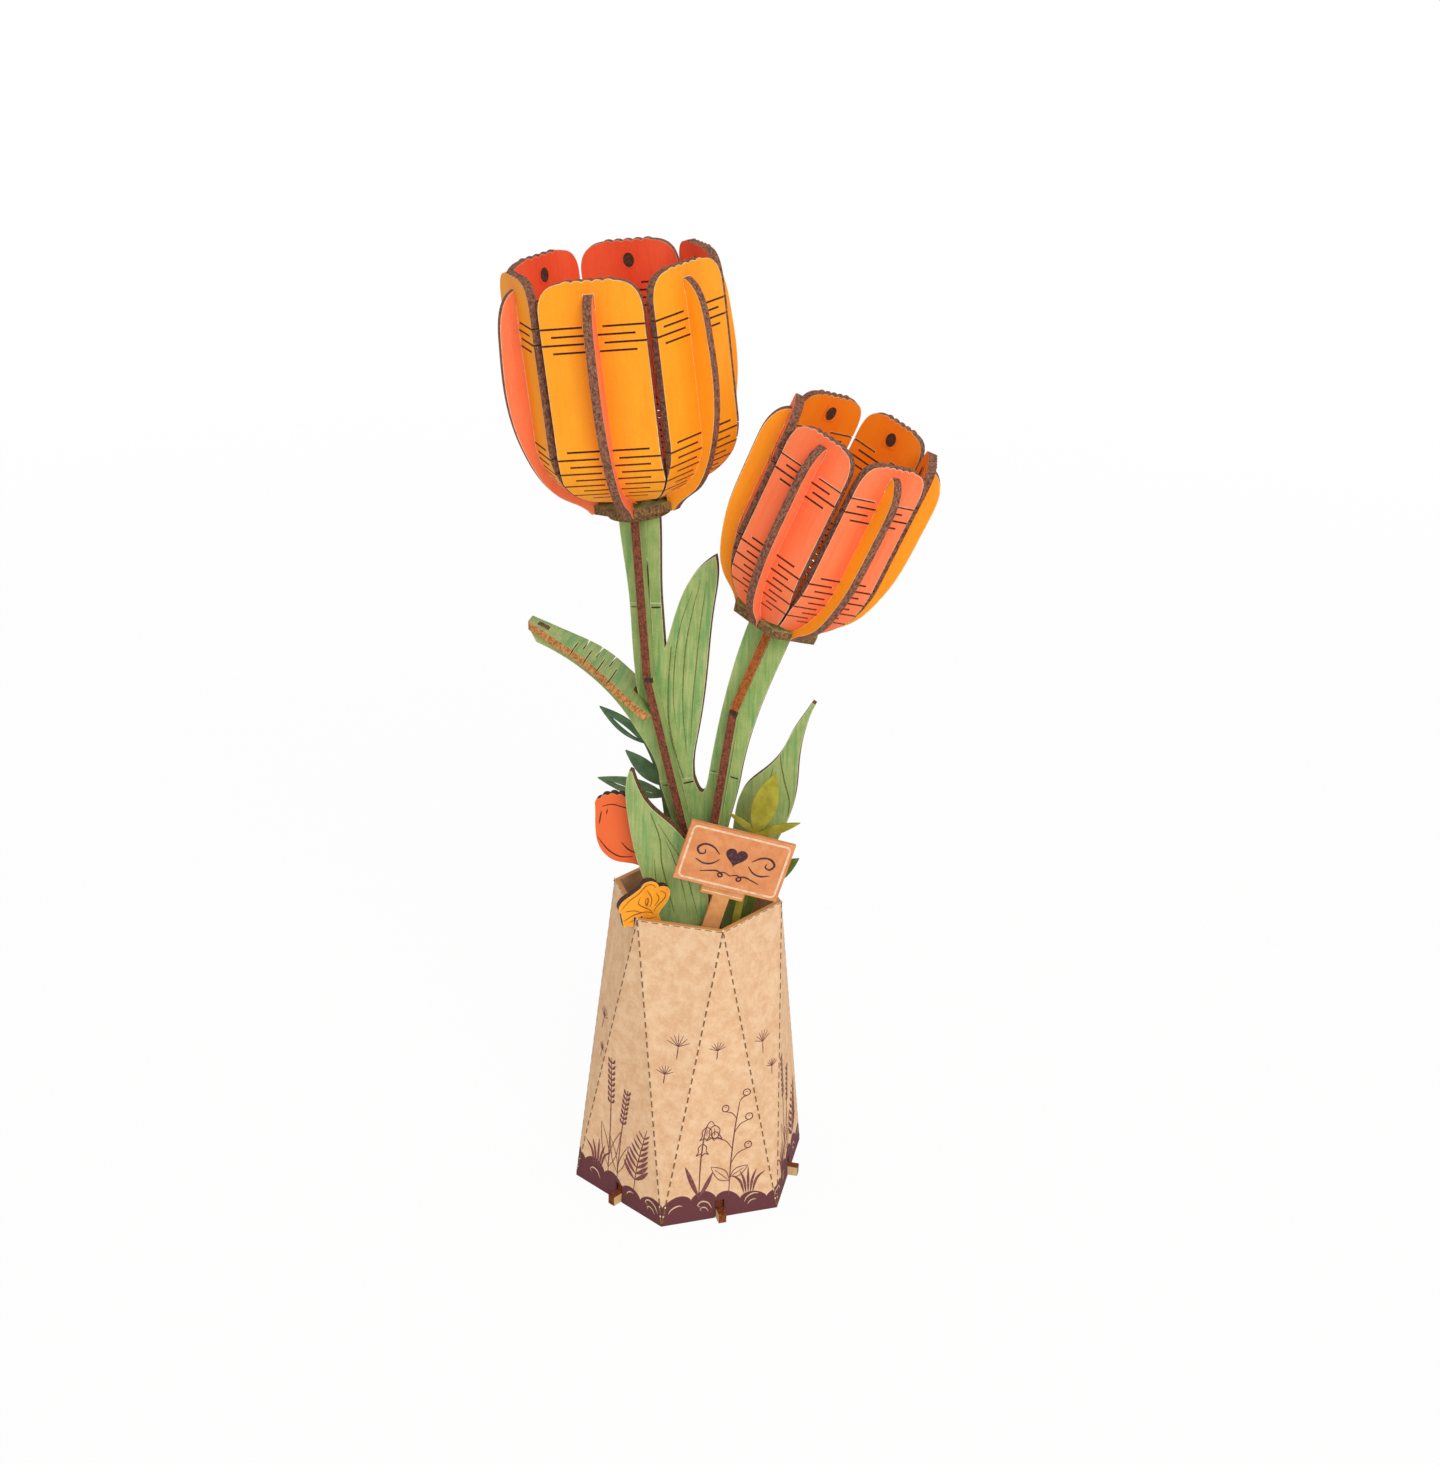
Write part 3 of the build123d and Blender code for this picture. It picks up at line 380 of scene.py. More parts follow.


# vase: kraft card, unbleached pulp with darker and paler fibres, printed round the foot

# the fold colour is painted shade, laid on the rim's upward faces
vase = {"light": "#F3CDA5", "deep": "#E2B285", "fibre": "#B98A58", "pale": "#F8E2C4",
        "fold": "#D8995C", "print": "#6B3A3F", "cloudSize": 2.6, "fibreSize": (0.45, 0.45, 0.8),
        "speckSize": 0.3, "bandHeight": 4.6, "humpHeight": 1.9, "humps": 26, "swell": 1.1,
        "swells": 5, "inkEdge": 0.08, "footRadius": 27.6, "rimRadius": 19.1, "height": 72.0,
        "turn": 30.0}


def printedBand(tree, place, speck):  # share of ink round the foot, up to an edge in humps
    x, y, z = (partOf(tree, place, axis) for axis in "XYZ")
    around = calc(tree, "ARCTAN2", x, y)
    hump = calc(tree, "SINE", calc(tree, "MULTIPLY", around, vase["humps"] / 2))
    hump = calc(tree, "POWER", calc(tree, "ABSOLUTE", hump), 0.6)
    swell = calc(tree, "SINE", calc(tree, "MULTIPLY", around, float(vase["swells"])))
    edge = calc(tree, "MULTIPLY_ADD", hump, vase["humpHeight"] * mm, vase["bandHeight"] * mm)
    edge = calc(tree, "MULTIPLY_ADD", swell, vase["swell"] * mm, edge)
    over = calc(tree, "SUBTRACT", z, edge)
    reach = addNode(tree, "VectorMath", {0: addNode(tree, "CombineXYZ", {0: x, 1: y})},
                    out="Value", operation="LENGTH")
    # only on the outside: at the foot the sleeve is nearest to the axis amid a side
    nearest = vase["footRadius"] * math.cos(math.pi / 6)
    isOut = ramped(tree, reach, (nearest - 1.2) * mm, (nearest - 0.9) * mm)
    soft = vase["inkEdge"] * mm
    ink = calc(tree, "MULTIPLY", ramped(tree, over, soft, -soft), isOut)
    return calc(tree, "MULTIPLY", ink, ramped(tree, speck, 0.72, 0.85, 1, 0.75))


def kraftCard(name):
    material, tree, shader = newMaterial(name, 0.78, 0.25)
    place = coordinate(tree)
    cloud = noiseAt(tree, place, vase["cloudSize"], 5, 0.75)
    fibre = noiseAt(tree, place, vase["fibreSize"])
    speck = noiseAt(tree, place, vase["speckSize"], 1)
    colour = mixed(tree, ramped(tree, cloud, 0.3, 0.7), linear(vase["light"]),
                   linear(vase["deep"]))
    colour = mixed(tree, ramped(tree, fibre, 0.62, 0.75, 0, 0.4), colour, linear(vase["fibre"]))
    colour = mixed(tree, ramped(tree, speck, 0.66, 0.8, 0, 0.45), colour, linear(vase["pale"]))
    # painted shade: faces turned upward, at the folded rim, take the darker fold colour
    paintedRimShade = ramped(tree, partOf(tree, coordinate(tree, "Normal"), "Z"), 0.7, 0.9)
    colour = mixed(tree, paintedRimShade, colour, linear(vase["fold"]))
    colour = mixed(tree, printedBand(tree, place, speck), colour, linear(vase["print"]))
    finishLook(tree, shader, colour, fibre)
    return material


dress("vase_sleeve", kraftCard("kraft card vase"))
print("card dressed")


# cut borders: beside every cut the dye is pale, and round the hinge slits it is scorched

borders = {"width": 0.32, "slitWidth": 0.15, "lift": 0.025, "scorch": "#7A4020",
           "wornSize": 1.2, "wornShade": 0.72, "faceShare": 0.6, "slitFlat": 0.3,
           "slitsFrom": 2.0, "slitsBelowTop": 8.0, "weld": 1e-6}
sideSlots, slitSlot, borderMark = (0, 1), 2, 2


def borderMaterial(name, code, roughness=0.7):
    material, tree, shader = newMaterial(name, roughness, 0.25)
    worn = noiseAt(tree, coordinate(tree), borders["wornSize"])
    base = linear(code)
    darker = tuple(c * borders["wornShade"] for c in base[:3]) + (1,)
    finishLook(tree, shader, mixed(tree, ramped(tree, worn, 0.35, 0.7), base, darker))
    return material


borderMaterials = {look: borderMaterial(f"pale cut border {look}", colours["pale"])
                   for look, colours in plyLooks.items()}
scorchMaterial = borderMaterial("scorched slit border", borders["scorch"], 0.85)


def drawn(name, node, built, *materials):  # a finished mesh as a piece that rides with a node
    mesh = bpy.data.meshes.new(name)
    built.to_mesh(mesh)
    built.free()
    for material in materials:
        mesh.materials.append(material)
    piece = bpy.data.objects.new(name, mesh)
    bpy.context.scene.collection.objects.link(piece)
    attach(piece, nodes[node]["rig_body"])


def polygonFacing(face, stand, axis, bend):
    normal = stand.to_3x3().inverted() @ face.normal
    if bend is None:
        return normal["XYZ".index(axis)]
    spot = stand.inverted() @ face.calc_center_median()
    away = Vector((spot.x - bend[0] * mm, 0, min(spot.z - bend[1] * mm, 0))).normalized()
    return away.dot(normal)


def slitsOf(sheet, node, stand):  # edges of a petal's face where a hinge slit cuts it
    inSheet, inverse, found = set(sheet), stand.inverted(), set()
    highest = (heads[node.split("_")[0]]["top"] - borders["slitsBelowTop"]) * mm
    for face in sheet:
        for edge in face.edges:
            others = [f for f in edge.link_faces if f not in inSheet]
            if others:
                cut = inverse.to_3x3() @ others[0].normal
                spot = inverse @ ((edge.verts[0].co + edge.verts[1].co) / 2)
                inBends = borders["slitsFrom"] * mm < spot.z < highest
                if abs(cut.y) < borders["slitFlat"] and inBends:
                    found.add(edge)
    return found


def addBorders(node):
    stand, axis, bend, looks = faceTests[node]
    built = bmesh.new()
    built.from_mesh(nodes[node].data)
    bmesh.ops.remove_doubles(built, verts=built.verts, dist=borders["weld"])
    facing = {f: polygonFacing(f, stand, axis, bend) for f in built.faces}
    for slot, way in zip(sideSlots, (1, -1)):
        sheet = [f for f in built.faces if f in facing and facing[f] != borderMark
                 and way * facing[f] > borders["faceShare"]]
        if not sheet:
            continue
        slits = slitsOf(sheet, node, stand) if bend is not None else set()
        strips = bmesh.ops.inset_region(built, faces=sheet, thickness=borders["width"] * mm / 2,
                                        use_even_offset=True, use_boundary=True)["faces"]
        pulled = set()
        for face in strips:
            rim = [v for e in face.edges if e in slits for v in e.verts]
            if rim:  # a scorched line is thinner than a cut border
                for v in face.verts:
                    if v not in rim and v not in pulled:
                        near = min(rim, key=lambda r: (r.co - v.co).length)
                        v.co = near.co.lerp(v.co, borders["slitWidth"] / borders["width"])
                        pulled.add(v)
            face.material_index = slitSlot if rim else slot
            facing[face] = borderMark
    keep = [f for f in built.faces if facing.get(f) == borderMark]
    lift = {v: f.normal for f in keep for v in f.verts}
    rest = [f for f in built.faces if facing.get(f) != borderMark]
    bmesh.ops.delete(built, geom=rest, context="FACES")
    for v, normal in lift.items():
        v.co += normal * borders["lift"] * mm
    drawn(f"{node}_cut_border", node, built, *(borderMaterials[k] for k in looks), scorchMaterial)


for node in faceTests:
    addBorders(node)
print("cut borders added")


# lines drawn on the sheets: burnt by the laser on wood, printed on card

lines = {"lift": 0.05, "step": 0.5, "column": 0.45, "taper": 0.8, "thinnest": 0.04,
         "unevenSize": 0.5}
closeEnough = 1e-6


def smoothed(points, step):  # a curve through the points with a place about every step mm
    path = [Vector(p) for p in points]
    ends = [path[0] * 2 - path[1]] + path + [path[-1] * 2 - path[-2]]
    if len(path) > 2 and (path[0] - path[-1]).length < closeEnough:
        ends[0], ends[-1] = path[-2], path[1]
    out = []
    for p0, p1, p2, p3 in zip(ends, ends[1:], ends[2:], ends[3:]):
        parts = max(1, math.ceil((p2 - p1).length / step))
        for k in range(parts):
            t = k / parts
            out.append(p1 + (p2 - p0) * 0.5 * t + (p0 * 2 - p1 * 5 + p2 * 4 - p3) * 0.5 * t ** 2
                       + (p1 * 3 - p0 - p2 * 3 + p3) * 0.5 * t ** 3)
    return out + [path[-1]]


def turnOut(faces, place, spot):  # turns new faces so that they look away from the sheet
    out = place(*spot, 1.0) - place(*spot, 0.0)
    for face in faces:
        face.normal_update()
        if face.normal.dot(out) < 0:
            face.normal_flip()


# a thin strip along the points; ends is the share of the width that its tips keep
def addLine(built, place, points, width, ends=1.0, step=lines["step"], lift=lines["lift"]):
    path = smoothed(points, step)
    last = len(path) - 1
    closed = (path[0] - path[-1]).length < closeEnough
    columns = max(1, math.ceil(width / lines["column"]))
    rows = []
    for k, spot in enumerate(path):
        if closed:
            way = path[(k + 1) % last] - path[(k - 1) % last]
        else:
            way = path[min(k + 1, last)] - path[max(k - 1, 0)]
        side = Vector((-way.y, way.x)).normalized()
        share = ends + (1 - ends) * abs(math.sin(math.pi * k / last)) ** lines["taper"]
        half = width / 2 * max(share, lines["thinnest"])
        rows.append([built.verts.new(place(*(spot + side * half * (2 * c / columns - 1)), lift))
                     for c in range(columns + 1)])
    faces = [built.faces.new((a[c], a[c + 1], b[c + 1], b[c]))
             for a, b in zip(rows, rows[1:]) for c in range(columns)]
    turnOut(faces, place, path[len(path) // 2])


def addPatch(built, place, points, lift=lines["lift"]):  # a filled shape on a flat sheet
    face = built.faces.new([built.verts.new(place(*p, lift)) for p in points])
    turnOut([face], place, points[0])


# patches and strokes hold what addPatch and addLine take
def addDrawing(name, node, material, strokes=(), patches=()):
    built = bmesh.new()
    for patch in patches:
        addPatch(built, *patch)
    for stroke in strokes:
        addLine(built, *stroke)
    drawn(name, node, built, material)


def onFace(stand, axis, depth, side=-1):  # places on a flat face: across and up in its own frame
    def place(across, up, lift):
        out = depth + side * lift
        spot = {"Y": (across, out, up), "X": (out, across, up), "Z": (across, up, out)}[axis]
        return stand @ (Vector(spot) * mm)
    return place


def burntLine(name, code):
    material, tree, shader = newMaterial(name, 0.85, 0.2)
    uneven = noiseAt(tree, coordinate(tree), lines["unevenSize"], 2)
    base = linear(code)
    lighter = tuple(min(1, c * 1.8 + 0.02) for c in base[:3]) + (1,)
    finishLook(tree, shader, mixed(tree, ramped(tree, uneven, 0.45, 0.75), base, lighter))
    return material


halfPly = 0.9
engraving = {"dark": ("laser burn dark", "#3A2A1C"), "peg": ("charred peg end", "#4A3024"),
             "vein": ("laser score on green", "#6E7238"), "bloom": ("laser burn on red", "#5A2418"),
             "wing": ("laser score on gold", "#8A4A12")}
burns = {key: burntLine(*look) for key, look in engraving.items()}

# per drawing: node, burn, then lines of (points across and up in mm, width, end share)
sheetMiddles = {"front_leaf": -8.02, "right_leaf": 4.01, "bud": -4.01}  # the others stand at 0
drawings = {
    "front_leaf_veins": ("front_leaf", "vein", [
        ([(-9.0, 94.4), (-6.8, 88.6), (-6.2, 82.6), (-4.7, 76.6), (-3.1, 70.6)], 0.34, 0.5),
        ([(-7.3, 92.2), (-4.6, 88.1), (-1.5, 83.3), (0.9, 75.4), (2.2, 70.6)], 0.26, 0.3),
        ([(-5.7, 88.8), (-3.8, 84.6), (-1.4, 77.5), (-0.1, 71.1)], 0.24, 0.2),
        ([(-7.9, 83.5), (-7.3, 77.5), (-5.9, 71.0)], 0.2, 0.2)]),
    "right_leaf_veins": ("right_leaf", "vein", [
        ([(16.9, 106.4), (16.9, 104.9), (17.9, 100.2), (19.2, 95.4), (19.0, 91.5)], 0.32, 0.3),
        ([(15.4, 103.6), (14.6, 98.6), (14.3, 92.6)], 0.22, 0.2)]),
    "long_leaf_veins": ("large_middle_plank", "vein", [
        ([(-1.1, 145.9), (-2.5, 139.8), (-3.8, 131.8), (-4.3, 123.2), (-4.1, 114.7),
          (-3.0, 105.1)], 0.26, 0.2),
        ([(-2.8, 143.5), (-5.0, 136.3), (-6.1, 128.7), (-6.4, 119.2), (-5.5, 111.1)], 0.22, 0.2),
        ([(0.2, 146.1), (-0.8, 136.8), (-1.5, 127.4), (-2.1, 117.8), (-2.3, 108.1)], 0.22, 0.2),
        ([(-7.1, 130.3), (-7.5, 121.9), (-7.4, 114.7), (-6.6, 109.5), (-5.1, 103.8),
          (-3.6, 99.6)], 0.34, 0.6)]),
    "plank_joints_large": ("large_middle_plank", "dark", [
        ([(-11.6, 138.75), (-9.6, 139.0)], 0.34, 0.8), ([(-16.1, 138.4), (-14.7, 138.5)], 0.2, 0.4),
        ([(-3.6, 98.5), (-1.4, 99.3)], 0.36, 0.8), ([(-8.3, 97.4), (-6.4, 97.7)], 0.24, 0.6)]),
    "plank_joint_small": ("small_top_plank", "dark", [
        ([(6.7, 101.5), (8.5, 101.2)], 0.34, 0.8), ([(2.4, 102.4), (3.6, 102.2)], 0.2, 0.4)]),
    "stem_seam_large": ("large_top_plank", "dark", [
        ([(-12.6, 149.0), (-12.3, 144.2), (-12.0, 140.1)], 0.26, 0.3)]),
    "bud_lines": ("bud", "bloom", [
        ([(-21.9, 84.8), (-19.4, 81.9), (-16.7, 80.6), (-13.7, 81.0)], 0.32, 0.3),
        ([(-16.4, 84.2), (-14.9, 82.7), (-13.0, 81.9)], 0.34, 0.3),
        ([(-21.0, 91.3), (-21.5, 88.0)], 0.28, 0.3), ([(-19.6, 91.9), (-19.9, 90.6)], 0.26, 0.3),
        ([(-20.9, 92.4), (-18.6, 93.2), (-15.8, 92.8), (-13.6, 92.2)], 0.26, 0.4)])}
for name, (node, burn, scores) in drawings.items():
    strokes = []
    for side in (-1, 1):  # the same on both faces
        place = onFace(upright, "Y", sheetMiddles.get(node, 0.0) + side * halfPly, side)
        strokes += [(place, *score) for score in scores]
    addDrawing(name, node, burns[burn], strokes)

# the ribs' pegs show in oval holes inside the petals: the sheet's corners round each peg
holes = {"large": {"pegEnd": 18.2, "at": 45.0}, "small": {"pegEnd": 13.5, "at": 39.7},
         "across": 1.05, "up": 1.42, "margin": 0.28, "sides": 24, "rimWidth": 0.2,
         "cornerLift": 0.02, "charLift": 0.03, "rimLift": 0.04}


def holeShapes(at):  # a hole's oval, and the box round it in as many places
    oval, box = [], []
    for k in range(holes["sides"]):
        a = math.radians(360 / holes["sides"] * k)
        c, d = math.cos(a), math.sin(a)
        reach = 1 / max(abs(c), abs(d))
        oval.append((c * holes["across"], at + d * holes["up"]))
        box.append((c * reach * (holes["across"] + holes["margin"]),
                    at + d * reach * (holes["up"] + holes["margin"])))
    return oval, box


def roundHole(flower, index):
    petal = f"{flower}_petal_{index}"
    place = onFace(headFrame(flower, index), "X", holes[flower]["pegEnd"])
    oval, box = holeShapes(holes[flower]["at"])
    loop = list(zip(oval, box))
    corners = [(place, (a, b, d, c), holes["cornerLift"])
               for (a, b), (c, d) in zip(loop, loop[1:] + loop[:1])]
    addDrawing(f"{petal}_hole_corners", petal, nodes[petal].data.materials[0], patches=corners)
    rim = (place, oval + oval[:1], holes["rimWidth"], 1.0, lines["step"], holes["rimLift"])
    addDrawing(f"{petal}_hole_scorch", petal, burns["peg"], [rim],
               [(place, oval, holes["charLift"])])


for flower in heads:
    for i in petalIndices:
        roundHole(flower, i)

# dark pegs of the spines where their halves meet at the knees: place and length
kneeMarks = {"large_upper_spine": ((-10.9, 0, 123.5), 1.1),
             "small_upper_spine": ((7.7, 0, 118.2), 1.2)}
knee = {"front": -4.3, "width": 1.7, "step": 0.4}
for node, (spot, length) in kneeMarks.items():
    place = onFace(shifted(spot) @ leaning(spines[node][0]), "Y", knee["front"])
    peg = (place, [(0, -length / 2), (0, length / 2)], knee["width"], 1.0, knee["step"])
    addDrawing(f"{node}_knee_char", node, burns["dark"], [peg])

# winged piece: scored veins and an eye spot, as shares of its width and height, and widths
wing = {"width": 11.6, "height": 10.6, "at": (-10.175, -14.42, 69.8), "slot": -1.392,
        "ends": 0.4, "step": 0.3}
wingStand = shifted(wing["at"]) @ flutterStand
wingLines = [
    ([(-0.44, 0.42), (-0.30, 0.60), (-0.12, 0.74), (0.02, 0.90), (0.14, 0.92), (0.22, 0.84)], 0.2),
    ([(-0.40, 0.14), (-0.20, 0.26), (0.02, 0.30), (0.16, 0.26)], 0.24),
    ([(-0.38, 0.36), (-0.20, 0.36), (-0.06, 0.30)], 0.2),
    ([(-0.08, 0.66), (-0.12, 0.52), (-0.02, 0.42), (0.10, 0.34), (0.18, 0.22)], 0.22),
    ([(0.04, 0.80), (0.12, 0.66), (0.14, 0.52), (0.10, 0.40)], 0.2),
    ([(0.30, 0.76), (0.40, 0.68), (0.38, 0.56), (0.24, 0.40), (0.18, 0.28)], 0.22),
    ([(0.22, 0.72), (0.28, 0.58), (0.20, 0.42)], 0.2),
    ([(-0.30, 0.10), (-0.10, 0.16), (0.10, 0.14), (0.24, 0.16)], 0.2),
    ([(0.02, 0.56), (0.06, 0.62), (0.07, 0.54), (0.04, 0.44), (0.02, 0.56)], 0.3)]
wingStrokes = [
    (onFace(wingStand, "Y", side * halfPly, side),
     [(u * wing["width"] - wing["slot"], v * wing["height"]) for u, v in points],
     width, wing["ends"], wing["step"])
    for side in (-1, 1) for points, width in wingLines]
addDrawing("flutter_wing_lines", "flutter", burns["wing"], wingStrokes)
print("wood engraved")


# sign: a pale pressed frame, a heart with scrolls and a line of loops, printed on the card

sign = {"width": 23.3, "height": 14.2, "card": 1.0, "at": (6.418, -12.129, 72.0), "turn": 16.3,
        "tilt": 15.5, "rise": 15.2, "inset": 0.85, "insetWidth": 0.5, "corner": 0.9,
        "pale": "#FFD2AC", "ink": "#4A2E33", "heartSides": 40, "heartSize": 1.15, "heartUp": 1.2,
        "step": 0.3, "ledgeWidth": 9.6, "ledgeMargin": 0.3, "ledgeLines": (0.5, 1.7)}
signStand = (shifted(sign["at"]) @ turned(sign["turn"]) @ leaning(sign["tilt"])
             @ shifted((0, 0, sign["rise"])))
signFace = onFace(signStand, "Y", -sign["card"] / 2)
ledgeFace = onFace(signStand, "Y", sign["card"] / 2)
# right halves of the scroll, the line under it and the loops: points, width, end share
signScrolls = (
    ([(3.6, 0.9), (5.4, 2.3), (7.4, 2.5), (8.6, 1.3), (7.9, 0.1), (6.8, 0.4), (6.9, 1.3)],
     0.5, 0.35, sign["step"]),
    ([(3.2, -0.3), (4.6, -1.6), (6.4, -2.0), (8.4, -1.3)], 0.42, 0.3),
    ([(0.0, -3.6), (1.4, -3.1), (2.6, -3.7), (2.1, -4.4), (1.6, -3.8), (3.0, -3.1), (4.6, -3.4),
      (6.6, -4.0)], 0.38, 0.5, sign["step"]))


def signFrame():  # a closed line with round corners
    halfWide = sign["width"] / 2 - sign["inset"] - sign["corner"]
    halfHigh = sign["height"] / 2 - sign["inset"] - sign["corner"]
    points = []
    for sx, sz, first in ((1, 1, 0), (-1, 1, 90), (-1, -1, 180), (1, -1, 270)):
        for step in range(0, 91, 30):
            a = math.radians(first + step)
            points.append((sx * halfWide + sign["corner"] * math.cos(a),
                           sz * halfHigh + sign["corner"] * math.sin(a)))
    return points + points[:1]


def heartShape():
    points = []
    for k in range(sign["heartSides"]):
        t = 2 * math.pi * k / sign["heartSides"]
        x = 2.1 * math.sin(t) ** 3
        z = 0.13 * (13 * math.cos(t) - 5 * math.cos(2 * t) - 2 * math.cos(3 * t) - math.cos(4 * t))
        points.append((x * sign["heartSize"], z * sign["heartSize"] + sign["heartUp"]))
    return points


addDrawing("sign_pale_frame", "sign_board", borderMaterial("pale pressed line", sign["pale"]),
           [(signFace, signFrame(), sign["insetWidth"])])
scrolls = [(signFace, [(side * x, z) for x, z in points], *more)
           for side in (1, -1) for points, *more in signScrolls]
addDrawing("sign_heart", "sign_board", burntLine("printed heart ink", sign["ink"]), scrolls,
           [(signFace, heartShape())])
ledgeHalf = sign["ledgeWidth"] / 2 - sign["ledgeMargin"]
ledgeHeights = [-sign["height"] / 2 - drop for drop in sign["ledgeLines"]]
addDrawing("ledge_pale_lines", "sign_stake",
           borderMaterial("pale pressed ledge line", sign["pale"]),
           [(ledgeFace, [(-ledgeHalf, z), (ledgeHalf, z)], 0.3, 0.8, 1.0) for z in ledgeHeights])
print("sign drawn")


# vase print: dashed folds, curls on the band and garden sprigs, each on the facets round it

def sleeveCorner(radius, turn, index, height):
    a = math.radians(60 * index + turn)
    return Vector((radius * math.sin(a), -radius * math.cos(a), height))


sixths = range(6)
feet = [sleeveCorner(vase["footRadius"], 0, i, 0) for i in sixths]
rims = [sleeveCorner(vase["rimRadius"], -vase["turn"], i, vase["height"]) for i in sixths]
facets = [(feet[i - 1], feet[i], rims[i]) for i in sixths] + [
    (rims[i], rims[(i + 1) % 6], feet[i]) for i in sixths]
facetNormals = []
for a, b, c in facets:
    normal = (b - a).cross(c - a).normalized()
    facetNormals.append(normal if normal.dot(Vector((a.x, a.y, 0))) > 0 else -normal)


def sleeveRadius(height):  # mean radius, between a corner's and a side's
    mean = math.cos(math.radians(15))
    low, high = vase["footRadius"] * mean, vase["rimRadius"] * mean
    return low + (high - low) * height / vase["height"]


def onSleeve(azimuth):  # places on the sleeve: across from an azimuth and up, in mm
    def place(across, up, lift):
        a = math.radians(azimuth + math.degrees(across / sleeveRadius(up)))
        way, start = Vector((math.sin(a), -math.cos(a), 0)), Vector((0, 0, up))
        hits = [(normal.dot(facet[0] - start) / normal.dot(way), normal)
                for facet, normal in zip(facets, facetNormals) if normal.dot(way) > 0.05]
        reach, normal = min(hits, key=lambda h: h[0])
        return (start + way * reach + normal * lift) * mm
    return place


# perforated folds: dark dashes with pale torn ends between them, each from, to and width
folds = {"pitch": 2.3, "start": 0.35, "dash": (0.0, 1.45, 0.34), "tick": (1.55, 2.0, 0.3),
         "underRim": 0.3, "dark": "#7E5A38", "pale": "#F8E4C6"}


def addDash(built, here, way, side, out, dash, down):
    first, last, width = dash
    ends = [here + way * first, here + way * last]
    points = [ends[0] - side * width / 2, ends[1] - side * width / 2,
              ends[1] + side * width / 2, ends[0] + side * width / 2]
    built.faces.new([built.verts.new((p + down + out * lines["lift"]) * mm) for p in points])


def addFolds():
    dark, pale = bmesh.new(), bmesh.new()
    edges = []
    for i in sixths:
        after = rims[(i + 1) % 6]
        edges += [(feet[i], rims[i]), (feet[i], after), (rims[i], after)]
    for start, end in edges:
        way = (end - start).normalized()
        middle = (start + end) / 2
        out = Vector((middle.x, middle.y, 0)).normalized()
        side = way.cross(out).normalized()
        out = side.cross(way).normalized()
        if out.dot(middle) < 0:
            out = -out
        down = Vector((0, 0, 0))
        if abs(way.z) < 0.1:  # just under the rim's fold
            down = (-side if side.z > 0 else side) * folds["underRim"]
        length = (end - start).length
        count = int(length / folds["pitch"])
        for k in range(count):
            here = start + way * (length * (k + folds["start"]) / count)
            addDash(dark, here, way, side, out, folds["dash"], down)
            addDash(pale, here, way, side, out, folds["tick"], down)
    drawn("vase_fold_dashes", "vase_sleeve", dark, burntLine("perforated fold", folds["dark"]))
    drawn("vase_fold_ticks", "vase_sleeve", pale, borderMaterial("torn card fibres",
                                                                 folds["pale"]))


addFolds()


# sprigs: each function gives lines of (points across and up in mm, width, end share)

def leafShape(root, tip, bow, width, ends):  # a leaf's outline as two bowed sides
    root, tip = Vector(root), Vector(tip)
    side = Vector((root.y - tip.y, tip.x - root.x)) * bow
    return [([root, root.lerp(tip, 0.35) + side * way, root.lerp(tip, 0.7) + side * way * 0.75,
              tip], width, ends) for way in (1, -1)]


def fern(height, lean, pairs):  # a bowed stem with leaflets in pairs, smaller towards the tip
    strokes = [([(0, 0), (lean * 0.25, height * 0.4), (lean, height)], 0.32, 0.4)]
    for k in range(pairs):
        t = 0.16 + 0.78 * k / pairs
        x, z = lean * t ** 1.6, height * t
        size = 4.6 * (1 - 0.75 * t)
        for side in (1, -1):
            strokes.append(([(x, z), (x + side * size * 0.55, z + size * 0.42),
                             (x + side * size, z + size * 0.95)], size * 0.26, 0.05))
    return strokes


def lavender(height, lean, rows):  # small blooms in rows up the stem, and two leaves
    strokes = [([(0, 0), (lean * 0.3, height * 0.5), (lean, height)], 0.3, 0.6)]
    for k in range(rows):
        t = 0.62 + 0.38 * k / rows
        x, z = lean * t ** 1.6, height * t
        for side in (1, -1):
            strokes.append(([(x, z), (x + side * 0.75, z + 0.5), (x + side * 1.0, z + 1.3)],
                            0.62, 0.15))
    for side in (1, -1):
        strokes += leafShape((lean * 0.02, height * 0.06), (side * 3.2, height * 0.42), 0.09,
                             0.22, 0.4)
    return strokes


def berries(height, lean):  # ring berries on side twigs: share of the height, side, size
    strokes = [([(0, 0), (lean * 0.2, height * 0.35), (lean * 0.55, height * 0.7),
                 (lean, height)], 0.34, 0.5)]
    for share, side, size in ((0.35, 1, 4.2), (0.5, -1, 4.4), (0.68, 1, 3.4), (0.82, -1, 2.8),
                              (1.0, 1, 1.6)):
        x, z = lean * share ** 1.5, height * share
        u, v = x + side * size, z + size * 0.8
        strokes.append(([(x, z), (x + side * size * 0.4, z + size * 0.55), (u, v)], 0.24, 0.7))
        ring = [(u + 0.85 * math.cos(a), v + 0.8 + 0.85 * math.sin(a))
                for a in (math.radians(60 * k - 90) for k in range(7))]
        strokes.append((ring, 0.26, 1.0))
        strokes.append(([(u - 0.2, v + 1.0), (u + 0.25, v + 1.1)], 0.26, 0.6))
    for root, tip in (((lean * 0.08, height * 0.16), (-4.6, height * 0.34)),
                      ((lean * 0.1, height * 0.2), (4.8, height * 0.3))):
        strokes += leafShape(root, tip, 0.2, 0.24, 0.5)
        strokes.append(([root, Vector(root).lerp(Vector(tip), 0.8)], 0.2, 0.3))
    return strokes


# half of a bell's outline, from its stalk to its frilled hem, as shares of its size
bellSide = ((0.62, 0.5), (0.6, 1.2), (0.95, 1.75), (0.3, 1.5))


